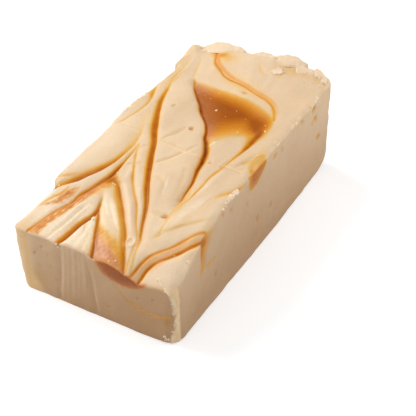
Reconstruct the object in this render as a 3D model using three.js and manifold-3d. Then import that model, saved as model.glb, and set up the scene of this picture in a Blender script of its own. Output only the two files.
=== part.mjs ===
// A cut slab of vanilla fudge with caramel folded into its top.
// Millimetres: X runs across the slab, Y along it to the rear, Z up. It rests on z = 0.
import * as THREE from 'three';
import { mergeVertices } from 'three/addons/utils/BufferGeometryUtils.js';
import Module from 'manifold-3d';

const wasm = await Module();
wasm.setup();

// Slab
const LENGTH = 90;
const WIDTH = 48.4;
const HEIGHT = 27; // at the left edge, behind the ramp
const CROSS_RISE = 3.3; // the right edge stands this much higher than the left
const RAMP_FALL = 5.5; // the top falls towards the front cut
const RAMP_CROSS_FALL = 2.3; // and falls this much more at the right
const RAMP_BACK = -15; // y where the ramp begins
const LIP_FALL = 3.5; // the front right corner droops once more
const LIP_BACK = -38;
const LIP_SIDES = [-4, 18];
const REAR_RISE = { edge: 1, crown: 3.8 }; // the knife pulled the rear edge up, most in the middle
const REAR_RISE_START = 33;
const REAR_BULGE = 1; // and pushed it out
const LEFT_LEAN = 2; // the left side curves in towards the floor
const CORNER_FLARE = 0.6; // the front left corner is pushed out
const LEFT_WAVES = [{ height: 0.3, length: 41 }, { height: 0.2, length: 17 }];
const REAR_OVERHANG = 1.3; // reach of the flakes past the rear cut
const EDGE_ROUND = { side: 1.7, top: 1.2, bottom: 2.6, least: 0.8 };
const CORNER_WEAR = 1.7; // the front right corner is rounder by this, the front left keener
const SKIRT = 1; // slab below the floor, cut away to leave a flat foot
const GRID = { across: 28, along: 48, up: 6 };
const EDGE_CROWDING = 0.34; // grid lines crowd towards the edges

// Folds in the top: a plan route, the cut's width and depth, and its lean to one side
const VALLEY = { share: 0.45, spread: 3.4 }; // each cut lies in a broad hollow
const GROOVE_STEP = 3.4;
const GROOVE_CLEAR = 1.4; // reach of a cutter above the surface
const GROOVE_FLAT = 0.3; // share of the width that is flat at the bottom
const FADE_POWER = 4;
const FOLDS = [
  { width: 2.3, depth: 1.2, lean: 0.2, fade: [1, 0.4],
    route: [[-19.4, 32], [-18.2, 21], [-14.4, 9], [-8.4, -2], [0, -19.2], [7.4, -33], [9.6, -43]] },
  { width: 1.9, depth: 1.9, lean: -0.2, fade: [1, 1],
    route: [[-14.6, 31], [-8, 21.8], [0, 11.9], [4, 5.2], [8, -1.8], [11, -12], [12.2, -22], [12, -32]] },
  { width: 0.9, depth: 0.5, lean: 0, fade: [0.4, 1],
    route: [[18, 7], [16.5, 0], [14.6, -11], [14, -20], [12.8, -29]] },
  { width: 1.1, depth: 0.6, lean: -0.2, fade: [0, 1],
    route: [[-13.4, 44], [-11.2, 38.5], [-6, 35.2], [6, 31.1], [13, 27.4], [17.7, 21]] },
  { width: 1.4, depth: 1, lean: 0, fade: [1, 1],
    route: [[-22, 20.6], [-20.2, 15], [-20.1, 8], [-23.2, 1]] },
  { width: 1.8, depth: 1.3, lean: 0.2, fade: [1, 0],
    route: [[-13.8, 0], [-12.4, -11], [-13.6, -19.3], [-18, -25], [-23, -29.4], [-26, -31]] },
  { width: 2.4, depth: 1.2, lean: 0, fade: [1, 0],
    route: [[-11, -8], [-9.6, -18], [-11.2, -24], [-14.6, -31], [-18.6, -38.5], [-20.4, -47]] },
  { width: 2, depth: 0.8, lean: 0, fade: [1, 0],
    route: [[-18, -28], [-19, -31.8], [-22, -34.4], [-26, -36.6]] },
  { width: 1.8, depth: 1, lean: 0.1, fade: [1, 0.2],
    route: [[-8.6, -22], [-4.5, -26], [0, -31.4], [4, -37], [8, -44.4]] },
  { width: 0.8, depth: 0.5, lean: 0, fade: [1, 1],
    route: [[-11.3, -6], [-6, -16], [0.2, -24], [6.6, -34.6], [9, -42]] },
  { width: 1.6, depth: 1.8, lean: 0.2, fade: [1, 0],
    route: [[-7.6, -28.6], [-6.8, -33], [-8.7, -38.6], [-10.8, -47]] },
  { width: 1.8, depth: 1.6, lean: -0.1, fade: [1, 0],
    route: [[-7.7, -30.6], [-4.2, -38], [-1, -43.4], [1.8, -48]] },
  { width: 1.3, depth: 1.1, lean: 0, fade: [0, 0],
    route: [[27, -28.4], [22, -33], [16.4, -39.6], [13.4, -43.6], [12.4, -48]] },
  { width: 0.9, depth: 0.6, lean: 0, fade: [0, 0.4],
    route: [[27, -26.2], [22, -29.6], [16, -36], [12.2, -41], [10.4, -45]] },
];

// Flakes dragged up along the rear edge: middle, half sizes and tilt about X and Y
const FLAKES = [
  { at: [-13, 44.1, 31.2], half: [6, 2.3, 0.6], tilt: [0.45, -0.14] },
  { at: [-7.4, 44.2, 32], half: [3.8, 2.1, 0.6], tilt: [0.4, 0.08] },
  { at: [8.4, 44, 33.3], half: [4.4, 2.2, 0.8], tilt: [0.5, -0.2] },
  { at: [13.2, 44.1, 33.5], half: [4, 2.1, 0.8], tilt: [0.5, 0.12] },
  { at: [19.4, 43.9, 32.6], half: [3.3, 2, 0.7], tilt: [0.45, 0.14] },
  { at: [8, 41.1, 32], half: [2.2, 1.3, 0.4], tilt: [0.3, 0.2] },
];
const FLAKE_SIDES = 20;
const FLAKE_RINGS = 6;
const FLAKE_RAGGED = { depth: 0.08, waves: 6 };

// Open bubbles: middle and radius, on the top and on the right side
const PITS = [
  { at: [3.3, 29.8, 28.7], radius: 1 },
  { at: [-1.6, 6.8, 28.4], radius: 1.2 },
  { at: [-12, 15, 27.5], radius: 0.9 },
  { at: [11.4, -27.6, 27], radius: 1.1 },
  { at: [24.5, 34, 28.2], radius: 1.2 },
  { at: [24.5, 33.2, 24.5], radius: 1 },
  { at: [24.5, 6.9, 11.2], radius: 1.2 },
  { at: [24.5, 0.9, 10.1], radius: 1 },
];
const PIT_SIDES = 8;
const PIT_RINGS = 6;

// Caramel: a pool in the top, and two pockets that the cuts opened
const GAP = 0.3;
const POOL_FLOOR = 25.6;
const POOL_TOP = 34; // above the slab, so that the slab's own top closes the pool
const POOL_STEPS = 36;
const POOL_EDGE = [
  [-11.6, 28.4], [-4, 28.2], [5, 26.6], [13, 23], [18, 18], [18.2, 12], [16.8, 7.4],
  [11.5, 7.6], [6.4, 6.2], [1.6, 11.9], [-5, 20],
];
const FRONT_POCKET = { at: [7.9, -45, 20.2], half: [7.1, 9.6, 5.8], drift: [-0.95, 0, 0], along: 1 };
const SIDE_POCKET = { at: [24.2, -0.6, 30.8], half: [4.2, 5.2, 6.4], drift: [0, 0.45, 0], along: 2 };
const POCKET_SIDES = 20;
const POCKET_RINGS = 12;

const CREAM = { color: 0xe8cfa8, roughness: 0.55, metalness: 0 };
const CARAMEL = { color: 0xb8682a, roughness: 0.35, metalness: 0 };

// Closed three.js geometry as a solid that can be joined and cut.
function solid(geometry) {
  geometry.deleteAttribute('normal');
  geometry.deleteAttribute('uv');
  const merged = mergeVertices(geometry);
  const vertProperties = new Float32Array(merged.attributes.position.array);
  const triVerts = new Uint32Array(merged.index.array);
  return new wasm.Manifold(new wasm.Mesh({ numProp: 3, vertProperties, triVerts }));
}

// A named mesh of a finished solid.
function piece(name, body, finish) {
  const { vertProperties, triVerts } = body.getMesh();
  const geometry = new THREE.BufferGeometry();
  geometry.setAttribute('position', new THREE.BufferAttribute(vertProperties, 3));
  geometry.setIndex(new THREE.BufferAttribute(triVerts, 1));
  geometry.computeVertexNormals();
  const mesh = new THREE.Mesh(geometry, new THREE.MeshStandardMaterial(finish));
  mesh.name = name;
  return mesh;
}

// Moves every vertex of a geometry by a rule that changes the point it is given.
function reshape(geometry, rule) {
  const position = geometry.attributes.position;
  const point = new THREE.Vector3();
  for (let i = 0; i < position.count; i += 1) {
    rule(point.fromBufferAttribute(position, i));
    position.setXYZ(i, point.x, point.y, point.z);
  }
  return geometry;
}

// A smooth plan curve through a fold's route.
function planCurve(route) {
  return new THREE.CatmullRomCurve3(route.map(([x, y]) => new THREE.Vector3(x, y, 0)));
}

const foldLines = FOLDS.map(({ route, depth }) => {
  const curve = planCurve(route);
  const steps = Math.ceil(curve.getLength());
  return { points: curve.getSpacedPoints(steps), depth: depth * VALLEY.share };
});

// Depth of the broad hollow that the nearest folds leave at a place on the top.
function hollow(x, y) {
  let deepest = 0;
  for (const { points, depth } of foldLines) {
    for (const point of points) {
      const away = Math.hypot(point.x - x, point.y - y) / VALLEY.spread;
      deepest = Math.max(deepest, depth * Math.exp(-away * away));
    }
  }
  return deepest;
}

// Height of the top before the folds are cut.
function topHeight(x, y) {
  const across = THREE.MathUtils.clamp(x / WIDTH + 0.5, 0, 1);
  const ramp = 1 - THREE.MathUtils.smoothstep(y, -LENGTH / 2, RAMP_BACK);
  const lip = 1 - THREE.MathUtils.smoothstep(y, -LENGTH / 2, LIP_BACK);
  const rear = THREE.MathUtils.smoothstep(y, REAR_RISE_START, LENGTH / 2);
  return HEIGHT + CROSS_RISE * across
    - (RAMP_FALL + RAMP_CROSS_FALL * across) * ramp
    - LIP_FALL * lip * THREE.MathUtils.smoothstep(x, ...LIP_SIDES)
    + THREE.MathUtils.lerp(REAR_RISE.crown, REAR_RISE.edge, (2 * across - 1) ** 2) * rear
    - hollow(x, y);
}

// Spreads a grid place from -1 to 1 so that lines crowd towards both ends.
function crowd(place) {
  return place * (1 + EDGE_CROWDING) - EDGE_CROWDING * place ** 3;
}

// Nearness to the front cut, from 0 at the middle to 1.
function frontness(y) {
  return Math.max(0, (-2 * y) / LENGTH);
}

// Pulls a point of the box surface in to its rounded edges and corners.
function roundEdges(point, half) {
  const worn = CORNER_WEAR * (point.x / half.x) * frontness(point.y);
  const side = Math.max(EDGE_ROUND.least, EDGE_ROUND.side + worn);
  const upright = point.z > 0 ? EDGE_ROUND.top : EDGE_ROUND.bottom + worn;
  const radius = new THREE.Vector3(side, side, upright);
  const inner = half.clone().sub(radius);
  const core = point.clone().clamp(inner.clone().negate(), inner);
  const arm = point.clone().sub(core).divide(radius);
  point.copy(core).add(arm.normalize().multiply(radius));
}

// Unevenness of the upper left edge along the slab.
function leftWave(y) {
  const turn = 2 * Math.PI * y;
  return LEFT_WAVES.reduce((sum, { height, length }) => sum + height * Math.sin(turn / length), 0);
}

// The slab's closed surface: a rounded box, leaning and bulging, under the rolling top.
function slabGeometry() {
  const half = new THREE.Vector3(WIDTH / 2, LENGTH / 2, HEIGHT / 2);
  const box = new THREE.BoxGeometry(2, 2, 2, GRID.across, GRID.along, GRID.up);
  return reshape(box, (point) => {
    point.set(crowd(point.x), crowd(point.y), point.z).multiply(half);
    roundEdges(point, half);
    const up = point.z / HEIGHT + 0.5;
    const left = Math.max(0, -point.x / half.x) ** 2;
    const rear = Math.max(0, point.y / half.y) ** 4;
    point.x += left * (LEFT_LEAN * (1 - up) ** 2 + up * leftWave(point.y));
    point.x -= left * CORNER_FLARE * frontness(point.y) ** 4;
    point.y += rear * REAR_BULGE * Math.sqrt(up);
    point.z = up * (topHeight(point.x, point.y) + SKIRT) - SKIRT;
  });
}

// A box under the floor, larger than the slab all round.
function floorGeometry() {
  return new THREE.BoxGeometry(2 * WIDTH, 2 * LENGTH, 4 * SKIRT).translate(0, 0, -2 * SKIRT);
}

// The cutter of one fold: a V swept along the top, lifted out where the fold fades.
function foldGeometry({ width, depth, lean, fade, route }) {
  const plan = planCurve(route);
  const steps = Math.ceil(plan.getLength() / GROOVE_STEP);
  const line = plan.getSpacedPoints(steps).map(({ x, y }, i) => {
    const along = (2 * i) / steps - 1;
    const end = along < 0 ? fade[0] : fade[1];
    const lift = depth * end * Math.abs(along) ** FADE_POWER;
    return new THREE.Vector3(x, y, topHeight(x, y) + lift);
  });
  const flare = (width / 2) * (1 + GROOVE_CLEAR / depth);
  const bottom = (width / 2) * GROOVE_FLAT;
  const shift = width * lean;
  const section = new THREE.Shape([
    new THREE.Vector2(depth, shift - bottom),
    new THREE.Vector2(depth, shift + bottom),
    new THREE.Vector2(-GROOVE_CLEAR, flare),
    new THREE.Vector2(-GROOVE_CLEAR, -flare),
  ]);
  const extrudePath = new THREE.CatmullRomCurve3(line);
  return new THREE.ExtrudeGeometry(section, { steps, bevelEnabled: false, extrudePath });
}

// A thin ragged flake.
function flakeGeometry({ at, half, tilt }) {
  const ball = new THREE.SphereGeometry(1, FLAKE_SIDES, FLAKE_RINGS).rotateX(Math.PI / 2);
  reshape(ball, (point) => {
    const turn = Math.atan2(point.y, point.x) * FLAKE_RAGGED.waves;
    const ragged = 1 + FLAKE_RAGGED.depth * Math.sin(turn);
    point.set(point.x * ragged * half[0], point.y * ragged * half[1], point.z * half[2]);
  });
  return ball.rotateX(tilt[0]).rotateY(tilt[1]).translate(...at);
}

// The ball that opens a bubble.
function pitGeometry({ at, radius }) {
  return new THREE.SphereGeometry(radius, PIT_SIDES, PIT_RINGS).translate(...at);
}

// The pool's edge in plan, pushed out by a margin and carried up through the top.
function poolGeometry(margin) {
  const edge = planCurve(POOL_EDGE);
  edge.closed = true;
  const outline = [];
  for (let i = 0; i < POOL_STEPS; i += 1) {
    const point = edge.getPointAt(i / POOL_STEPS);
    const tangent = edge.getTangentAt(i / POOL_STEPS);
    outline.push(new THREE.Vector2(point.x - tangent.y * margin, point.y + tangent.x * margin));
  }
  const depth = POOL_TOP - POOL_FLOOR + margin;
  const wall = new THREE.ExtrudeGeometry(new THREE.Shape(outline), { depth, bevelEnabled: false });
  return wall.translate(0, 0, POOL_FLOOR - margin);
}

// A pocket of caramel: an ellipsoid pushed out by a margin, drifting sideways along one axis.
function pocketGeometry({ at, half, drift, along }, margin) {
  const ball = new THREE.SphereGeometry(1, POCKET_SIDES, POCKET_RINGS);
  const sizes = new THREE.Vector3(...half).addScalar(margin);
  const slide = new THREE.Vector3(...drift);
  reshape(ball, (point) => {
    point.multiply(sizes);
    point.addScaledVector(slide, point.getComponent(along));
  });
  return ball.translate(...at);
}

let slab = solid(slabGeometry()).subtract(solid(floorGeometry()));
for (const fold of FOLDS) {
  slab = slab.subtract(solid(foldGeometry(fold)));
}
for (const flake of FLAKES) {
  slab = slab.add(solid(flakeGeometry(flake)));
}
for (const pit of PITS) {
  slab = slab.subtract(solid(pitGeometry(pit)));
}

const pool = slab.intersect(solid(poolGeometry(0)));
const front = slab.intersect(solid(pocketGeometry(FRONT_POCKET, 0)));
const side = slab.intersect(solid(pocketGeometry(SIDE_POCKET, 0)));
const block = slab
  .subtract(solid(poolGeometry(GAP)))
  .subtract(solid(pocketGeometry(FRONT_POCKET, GAP)))
  .subtract(solid(pocketGeometry(SIDE_POCKET, GAP)));

const fudge = new THREE.Group();
fudge.add(piece('fudge_block', block, CREAM));
fudge.add(piece('caramel_pool', pool, CARAMEL));
fudge.add(piece('caramel_front', front, CARAMEL));
fudge.add(piece('caramel_side', side, CARAMEL));
fudge.position.set(CORNER_FLARE / 2, -REAR_OVERHANG / 2, 0);

export default fudge;
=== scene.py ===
"""The looks of a cut slab of caramel swirl fudge: fine surface, caramel, flakes, crumbs and studio."""

import logging
import math
from dataclasses import dataclass
from dataclasses import field
from enum import Enum

import bmesh
import bpy
import numpy as np
from mathutils import Euler
from mathutils import Matrix
from mathutils import Vector


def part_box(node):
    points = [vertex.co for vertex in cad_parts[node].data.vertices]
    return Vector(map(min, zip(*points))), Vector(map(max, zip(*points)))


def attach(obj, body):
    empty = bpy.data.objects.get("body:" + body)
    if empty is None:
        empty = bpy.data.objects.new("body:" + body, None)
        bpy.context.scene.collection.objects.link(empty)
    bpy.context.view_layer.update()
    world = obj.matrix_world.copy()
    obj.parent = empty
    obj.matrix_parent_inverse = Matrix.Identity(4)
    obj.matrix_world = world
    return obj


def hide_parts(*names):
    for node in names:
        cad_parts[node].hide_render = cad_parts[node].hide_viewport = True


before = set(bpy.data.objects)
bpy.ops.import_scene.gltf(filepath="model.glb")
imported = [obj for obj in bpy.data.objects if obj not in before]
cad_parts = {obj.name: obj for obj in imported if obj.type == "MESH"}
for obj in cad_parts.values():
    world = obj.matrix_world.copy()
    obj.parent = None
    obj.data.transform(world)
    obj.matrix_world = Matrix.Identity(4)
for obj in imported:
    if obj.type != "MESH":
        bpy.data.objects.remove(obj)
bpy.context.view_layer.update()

MM = 0.001
FAR_OUTSIDE = -50.0
LOOK_AROUND = 26.0

log = logging.getLogger("fudge")

Array = np.ndarray
Mesh = bmesh.types.BMesh
Material = bpy.types.Material
Socket = bpy.types.NodeSocket
Tree = bpy.types.NodeTree
Span = tuple[float, float]
Curve = tuple[tuple[float, float], ...]
Route = tuple[tuple[float, ...], ...]
Tone = tuple[int, int, int]
Stops = tuple[tuple[float, Tone], ...]
Triple = tuple[float, float, float]


class Face(Enum):
    """The sides of the slab that carry marks, each with its outward direction."""

    TOP = (0, 0, 1)
    FRONT = (0, -1, 0)
    RIGHT = (1, 0, 0)
    REAR = (0, 1, 0)
    LEFT = (-1, 0, 0)

    @property
    def outward(self) -> Array:
        """Give the direction that the face looks in."""
        return np.array(self.value, dtype=float)

    @property
    def axes(self) -> list[int]:
        """Give the two axes that lie in the face."""
        return [axis for axis, part in enumerate(self.value) if part == 0]


class Mark(Enum):
    """What each point of the surface carries for the materials to read."""

    CARAMEL = "caramel"
    MILK = "milk"
    # Pale fudge and crumbs, and painted highlights drawn as paleness.
    PALE = "pale"
    # The cut faces' own tone and painted shade, and painted shade patches on the top.
    CUT = "cut"


def soft_step(value: Array, low: float, high: float) -> Array:
    """Rise smoothly from 0 to 1.

    Args:
        value: Where to read the step.
        low: Where it starts to rise.
        high: Where it is 1.

    Returns:
        The step's height at each value.
    """
    share = np.clip((value - low) / (high - low), 0.0, 1.0)
    return share * share * (3.0 - 2.0 * share)


def linear(red: int, green: int, blue: int) -> tuple[float, float, float, float]:
    """Turn a colour as a picture shows it into the renderer's linear light.

    Args:
        red, green, blue: Its parts, each 0 to 255.

    Returns:
        Linear red, green and blue with full alpha.
    """
    parts = [value / 255.0 for value in (red, green, blue)]
    light = [p / 12.92 if p <= 0.04045 else ((p + 0.055) / 1.055) ** 2.4 for p in parts]
    return (light[0], light[1], light[2], 1.0)


@dataclass(frozen=True)
class Ripple:
    """Smooth unevenness made of crossing waves, the same on each run."""

    seed: int
    wavelength: float
    stretch: tuple[float, float] = (1.0, 1.0)
    waves: int = 14
    height: float = 1.0

    def at(self, u: Array, v: Array) -> Array:
        """Read the unevenness.

        Args:
            u, v: Coordinates of each point in the face, mm.

        Returns:
            Values spread about 0, mostly within the ripple's height.
        """
        draw = np.random.default_rng(self.seed)
        total = np.zeros_like(u)
        for _ in range(self.waves):
            heading = draw.uniform(0.0, 2.0 * math.pi)
            pitch = self.wavelength * draw.uniform(0.6, 1.6)
            phase = draw.uniform(0.0, 2.0 * math.pi)
            along = u * math.cos(heading) / self.stretch[0] + v * math.sin(heading) / self.stretch[1]
            total += np.sin(2.0 * math.pi * along / pitch + phase)
        return self.height * (total / math.sqrt(self.waves))


@dataclass(frozen=True)
class Fold:
    """A fold of caramel along a route in one face.

    The left bank is on the left looking along the route. Each point of the route holds its place in
    the face in mm and, where they are not 1, how strongly the caramel shows and how wide it is there.
    """

    route: Route
    left: float
    right: float
    depth: float = 0.0
    milk: float = 0.0
    valley: Span = (1.3, 3.2)
    deepen: float = 1.6
    flat: float = 2.2
    stain: float = 1.0
    crackle: float = 0.0
    step: float = 0.7

    def trace(self) -> Array:
        """Lay a smooth line through the route.

        Returns:
            Rows of place, strength and width, closely spaced.
        """
        knots = np.array([[*point, 1.0, 1.0][:4] for point in self.route], dtype=float)
        ends = np.vstack([2 * knots[0] - knots[1], knots, 2 * knots[-1] - knots[-2]])
        line = []
        for before, start, stop, after in zip(ends, ends[1:], ends[2:], ends[3:]):
            steps = max(2, int(np.hypot(*(stop - start)[:2]) / self.step))
            for t in np.arange(steps) / steps:
                bend = 2 * before - 5 * start + 4 * stop - after
                twist = -before + 3 * start - 3 * stop + after
                line.append(0.5 * (2 * start + (stop - before) * t + bend * t**2 + twist * t**3))
        line.append(knots[-1])
        return np.array(line)

    def measure(self, u: Array, v: Array, margin: float) -> tuple[Array, ...]:
        """Find how far points lie from the fold.

        Args:
            u, v: Coordinates of each point in the face, mm.
            margin: How far around the route to look, mm.

        Returns:
            Which points are near, their distance with the left bank positive, and the fold's strength
            and width there.
        """
        line = self.trace()
        low = line[:, :2].min(axis=0) - margin
        high = line[:, :2].max(axis=0) + margin
        near = np.flatnonzero((u > low[0]) & (u < high[0]) & (v > low[1]) & (v < high[1]))
        spot = np.stack([u[near], v[near]], axis=1)
        best = np.full(len(near), 1e6)
        side = np.zeros(len(near))
        strength = np.zeros(len(near))
        width = np.ones(len(near))
        for start, stop in zip(line, line[1:]):
            run = stop[:2] - start[:2]
            offset = spot - start[:2]
            t = np.clip(offset @ run / max(run @ run, 1e-9), 0.0, 1.0)
            gap = offset - t[:, None] * run
            reach = np.hypot(gap[:, 0], gap[:, 1])
            closer = reach < best
            best = np.where(closer, reach, best)
            side = np.where(closer, run[0] * offset[:, 1] - run[1] * offset[:, 0], side)
            strength = np.where(closer, start[2] + t * (stop[2] - start[2]), strength)
            width = np.where(closer, start[3] + t * (stop[3] - start[3]), width)
        return near, np.where(side >= 0, best, -best), np.clip(strength, 0.0, 1.0), np.maximum(width, 0.1)


@dataclass(frozen=True)
class Spot:
    """A patch, pit or stain in one face, an ellipse of mm sizes turned by an angle."""

    at: tuple[float, float]
    half: tuple[float, float]
    caramel: float = 0.0
    milk: float = 0.0
    depth: float = 0.0
    turn: float = 0.0
    soft: float = 0.5

    def share(self, u: Array, v: Array) -> Array:
        """Read how much of the spot each point has.

        Args:
            u, v: Coordinates of each point in the face, mm.

        Returns:
            1 in the middle, 0 outside.
        """
        cosine = math.cos(self.turn)
        sine = math.sin(self.turn)
        along = ((u - self.at[0]) * cosine + (v - self.at[1]) * sine) / self.half[0]
        beside = ((v - self.at[1]) * cosine - (u - self.at[0]) * sine) / self.half[1]
        return 1.0 - soft_step(np.hypot(along, beside), 1.0 - self.soft, 1.0 + self.soft)


@dataclass
class Reading:
    """What the marks of one face say at each point."""

    caramel: Array
    milk: Array
    drop: Array

    @classmethod
    def blank(cls, count: int) -> "Reading":
        """Start a reading that says nothing."""
        return cls(np.zeros(count), np.zeros(count), np.zeros(count))

    def stain(self, where: Array, caramel: Array, milk: float) -> None:
        """Add caramel where it is stronger than what is there.

        Args:
            where: The points to stain.
            caramel: How strong the caramel is at each of them.
            milk: How milky this caramel is.
        """
        before = self.caramel[where]
        weight = caramel**3 / np.maximum(caramel**3 + before**3, 1e-9)
        self.milk[where] = self.milk[where] + (milk - self.milk[where]) * weight
        self.caramel[where] = np.maximum(before, caramel)


@dataclass(frozen=True)
class Pattern:
    """All the marks of one face."""

    folds: tuple[Fold, ...] = ()
    spots: tuple[Spot, ...] = ()
    sharp: float = 0.45
    look: float = 2.2
    wall_width: float = 1.1
    wall_least: float = 0.7
    wander: Ripple = Ripple(seed=11, wavelength=12.0, height=0.12)
    patchy: Ripple = Ripple(seed=12, wavelength=4.0, height=0.04)
    crackle: Ripple = Ripple(seed=13, wavelength=0.8, stretch=(1.0, 2.6), waves=24)
    crackle_heading: tuple[float, float] = (0.45, 0.89)
    crackle_height: float = 0.3

    def read(self, u: Array, v: Array) -> Reading:
        """Work out colour and relief.

        Args:
            u, v: Coordinates of each point in the face, mm.

        Returns:
            The reading at each point.
        """
        reading = Reading.blank(len(u))
        uneven = 1.0 + self.patchy.at(u, v)
        shift = self.wander.at(u, v)
        sine, cosine = self.crackle_heading
        groove = np.zeros(len(u))
        rough = np.zeros(len(u))
        for fold in self.folds:
            margin = self.look * max(fold.left, fold.right, *fold.valley)
            near, gap, strength, width = fold.measure(u + shift, v + shift, margin)
            bank = np.where(gap >= 0, fold.left, fold.right) * width
            profile = np.exp(-np.abs(gap / bank) ** fold.flat)
            skin = np.zeros(len(near))
            if fold.crackle:
                across = cosine * u[near] - sine * v[near]
                along = sine * u[near] + cosine * v[near]
                skin = -fold.crackle * np.maximum(0.0, self.crackle.at(across, along)) * profile
            amount = fold.stain * strength * profile * uneven[near] * (1.0 + skin)
            reading.stain(near, np.clip(amount, 0.0, 1.0), fold.milk)
            deep = fold.depth * np.clip(strength * fold.deepen, 0.0, 1.0)
            rough[near] += self.crackle_height * skin * strength
            slope = np.where(gap >= 0, *fold.valley)
            wall = np.exp(-((gap / np.maximum(self.wall_width * bank, self.wall_least)) ** 2))
            dale = np.exp(-((gap / slope) ** 2))
            cut = deep * (self.sharp * wall + (1.0 - self.sharp) * dale)
            if fold.depth < 0:
                rough[near] += cut
            else:
                groove[near] = (groove[near] ** 4 + cut**4) ** 0.25
        for spot in self.spots:
            share = spot.share(u + shift, v - shift)
            near = np.flatnonzero(share > 0)
            reading.stain(near, np.clip(spot.caramel * share[near] * uneven[near], 0.0, 1.0), spot.milk)
            groove[near] = groove[near] + spot.depth * share[near]
        reading.drop = groove + rough
        return reading


# Routes run in the two axes that lie in their face, in mm in the slab's own frame.
LONG_FOLD = (
    (-20.3, 33, 0.14, 0.5), (-19.6, 26, 0.3, 0.5), (-19.1, 23, 0.46, 0.6), (-18.4, 20, 0.58, 0.7),
    (-17.2, 16, 0.68, 0.85), (-14.7, 10, 0.74, 1.0), (-12, 5, 0.75, 1.1), (-9.3, 0, 0.75, 1.1),
    (-6.6, -5, 0.76, 1.05), (-4.3, -10, 0.8, 1.0), (-2, -14.8, 0.8, 0.95), (0.4, -19.6, 0.8, 0.9),
    (2.1, -22.5, 0.77, 0.8), (3.5, -25, 0.75, 0.7), (5.4, -29.2, 0.7, 0.6), (7.4, -34, 0.6, 0.5),
    (8.1, -36, 0.42, 0.4), (8.7, -39, 0.24, 0.3), (9.4, -42.5, 0.12, 0.3), (10, -45.6, 0.1, 0.3),
)
LONG_EDGE = (
    (-18.7, 23.2, 0.3, 1.0), (-16.8, 16.2, 0.6, 1.0), (-14.3, 10.2, 0.78, 1.0), (-11.6, 5.2, 0.82, 1.0),
    (-8.9, 0.2, 0.82, 1.0), (-6.2, -4.8, 0.84, 1.0), (-3.9, -9.8, 0.86, 1.0), (-1.6, -14.6, 0.86, 1.0),
    (0.8, -19.4, 0.86, 1.0), (2.4, -22.3, 0.84, 1.0), (3.8, -24.8, 0.8, 0.9), (5.6, -29.1, 0.7, 0.8),
)
# The cleft's darkest brown is partly caramel and partly painted shade where the left lobe overhangs it.
CENTRE_CLEFT = (
    (-15, 31.2, 0.1, 0.4), (-13.6, 29.4, 0.6, 0.4), (-12, 27, 0.88, 0.5), (-10.2, 24.9, 0.95, 0.6),
    (-8, 22.2, 0.97, 0.8), (-6.4, 20.3, 0.97, 0.9), (-5, 18.3, 0.97, 0.95), (-3.4, 16.3, 0.95, 0.9),
    (-2, 14.8, 0.95, 0.8), (0, 12.6, 0.96, 0.7), (1.2, 10.7, 0.97, 0.7), (2.2, 8.9, 0.98, 0.7),
    (3.3, 6.3, 1.0, 0.85), (4.8, 4, 1.0, 1.0), (6.9, 0, 1.0, 1.1), (8.2, -4, 0.98, 1.1),
    (9.2, -8, 0.95, 0.85), (9.8, -10, 0.92, 0.75), (10.8, -14.5, 0.86, 0.6), (11.4, -19.5, 0.72, 0.45),
    (11.6, -22, 0.4, 0.4), (11.5, -24.6, 0.15, 0.4),
)
RIGHT_VEIN = (
    (17.2, 9.3, 0.8, 1.3), (17, 6.2, 0.78, 1.2), (16.6, 3.5, 0.66, 1.0), (16.1, 1, 0.52, 0.9),
    (15.9, -2, 0.44, 0.8), (15.6, -5, 0.42, 0.8), (15.1, -8, 0.46, 0.8), (14.7, -11, 0.45, 0.8),
    (14.5, -14, 0.42, 0.7), (14.4, -17, 0.5, 0.7), (14.1, -20, 0.4, 0.7), (13, -22.2, 0.3, 0.8),
    (12, -24.3, 0.26, 0.8), (11.8, -28, 0.24, 0.8), (11.8, -32.4, 0.26, 0.8),
)
BACK_CURVE = (
    (-13.4, 45.6, 0.5, 1.0), (-13.2, 43, 0.6, 1.0), (-12.2, 39.8, 0.6, 1.0), (-11.2, 38.4, 0.6, 1.0),
    (-8, 36.2, 0.6, 0.8), (-6, 35.3, 0.62, 0.7), (-2, 34.3, 0.62, 0.7), (2, 32.9, 0.58, 0.7),
    (6, 31.4, 0.55, 0.7), (10, 29.6, 0.55, 0.8), (13.5, 27.2, 0.5, 1.0), (15, 25.5, 0.48, 1.1),
    (16.2, 23.8, 0.45, 1.2), (17.8, 20.8, 0.45, 1.0),
)
BACK_GLOW = (
    (-12.2, 41.6, 0.3), (-10.6, 38.9, 0.3), (-7.6, 36.9, 0.3), (-2, 35, 0.27), (2.2, 33.6, 0.27),
    (6.3, 32.1, 0.27), (10.4, 30.2, 0.25), (14, 27.7, 0.2), (16.8, 23.9, 0.12),
)
LEFT_NICK = (
    (-23, 22, 0.38, 1.2), (-22.3, 20.2, 0.46, 1.3), (-21.4, 18, 0.48, 0.9), (-20.7, 16, 0.42, 0.6),
    (-20.2, 13.4, 0.32, 0.6), (-20.5, 9.4, 0.32, 0.6), (-21.2, 5.6, 0.3, 0.6), (-21.7, 2.6, 0.28, 0.7),
    (-23, 0.7, 0.15, 0.8),
)
LEFT_FOLD = (
    (-18.2, 14, 0.04, 0.7), (-16.8, 9, 0.1, 0.8), (-15.3, 4.5, 0.13, 0.9), (-14.1, 1, 0.18, 0.9),
    (-13.2, -3, 0.26, 0.9), (-12.7, -6, 0.32, 0.8), (-12.8, -10, 0.44, 0.6), (-13.1, -12.6, 0.55, 0.55),
    (-13.5, -15, 0.66, 0.6), (-14.1, -17, 0.74, 0.75), (-15, -19, 0.8, 0.9), (-16.2, -20.8, 0.82, 1.0),
    (-17.4, -22.3, 0.82, 1.0), (-18.6, -23.9, 0.8, 0.95), (-19.7, -25.2, 0.75, 0.85),
    (-21, -26.3, 0.6, 0.7), (-22.2, -27.6, 0.55, 0.6), (-25, -30.6, 0.5, 0.6),
)
LEFT_ECHO = (
    (-15.4, -17.2, 0.1), (-17.2, -20.2, 0.2), (-19.4, -22.4, 0.24), (-21.4, -23.8, 0.3),
    (-23.6, -25.2, 0.3), (-25.2, -26.2, 0.2),
)
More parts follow.
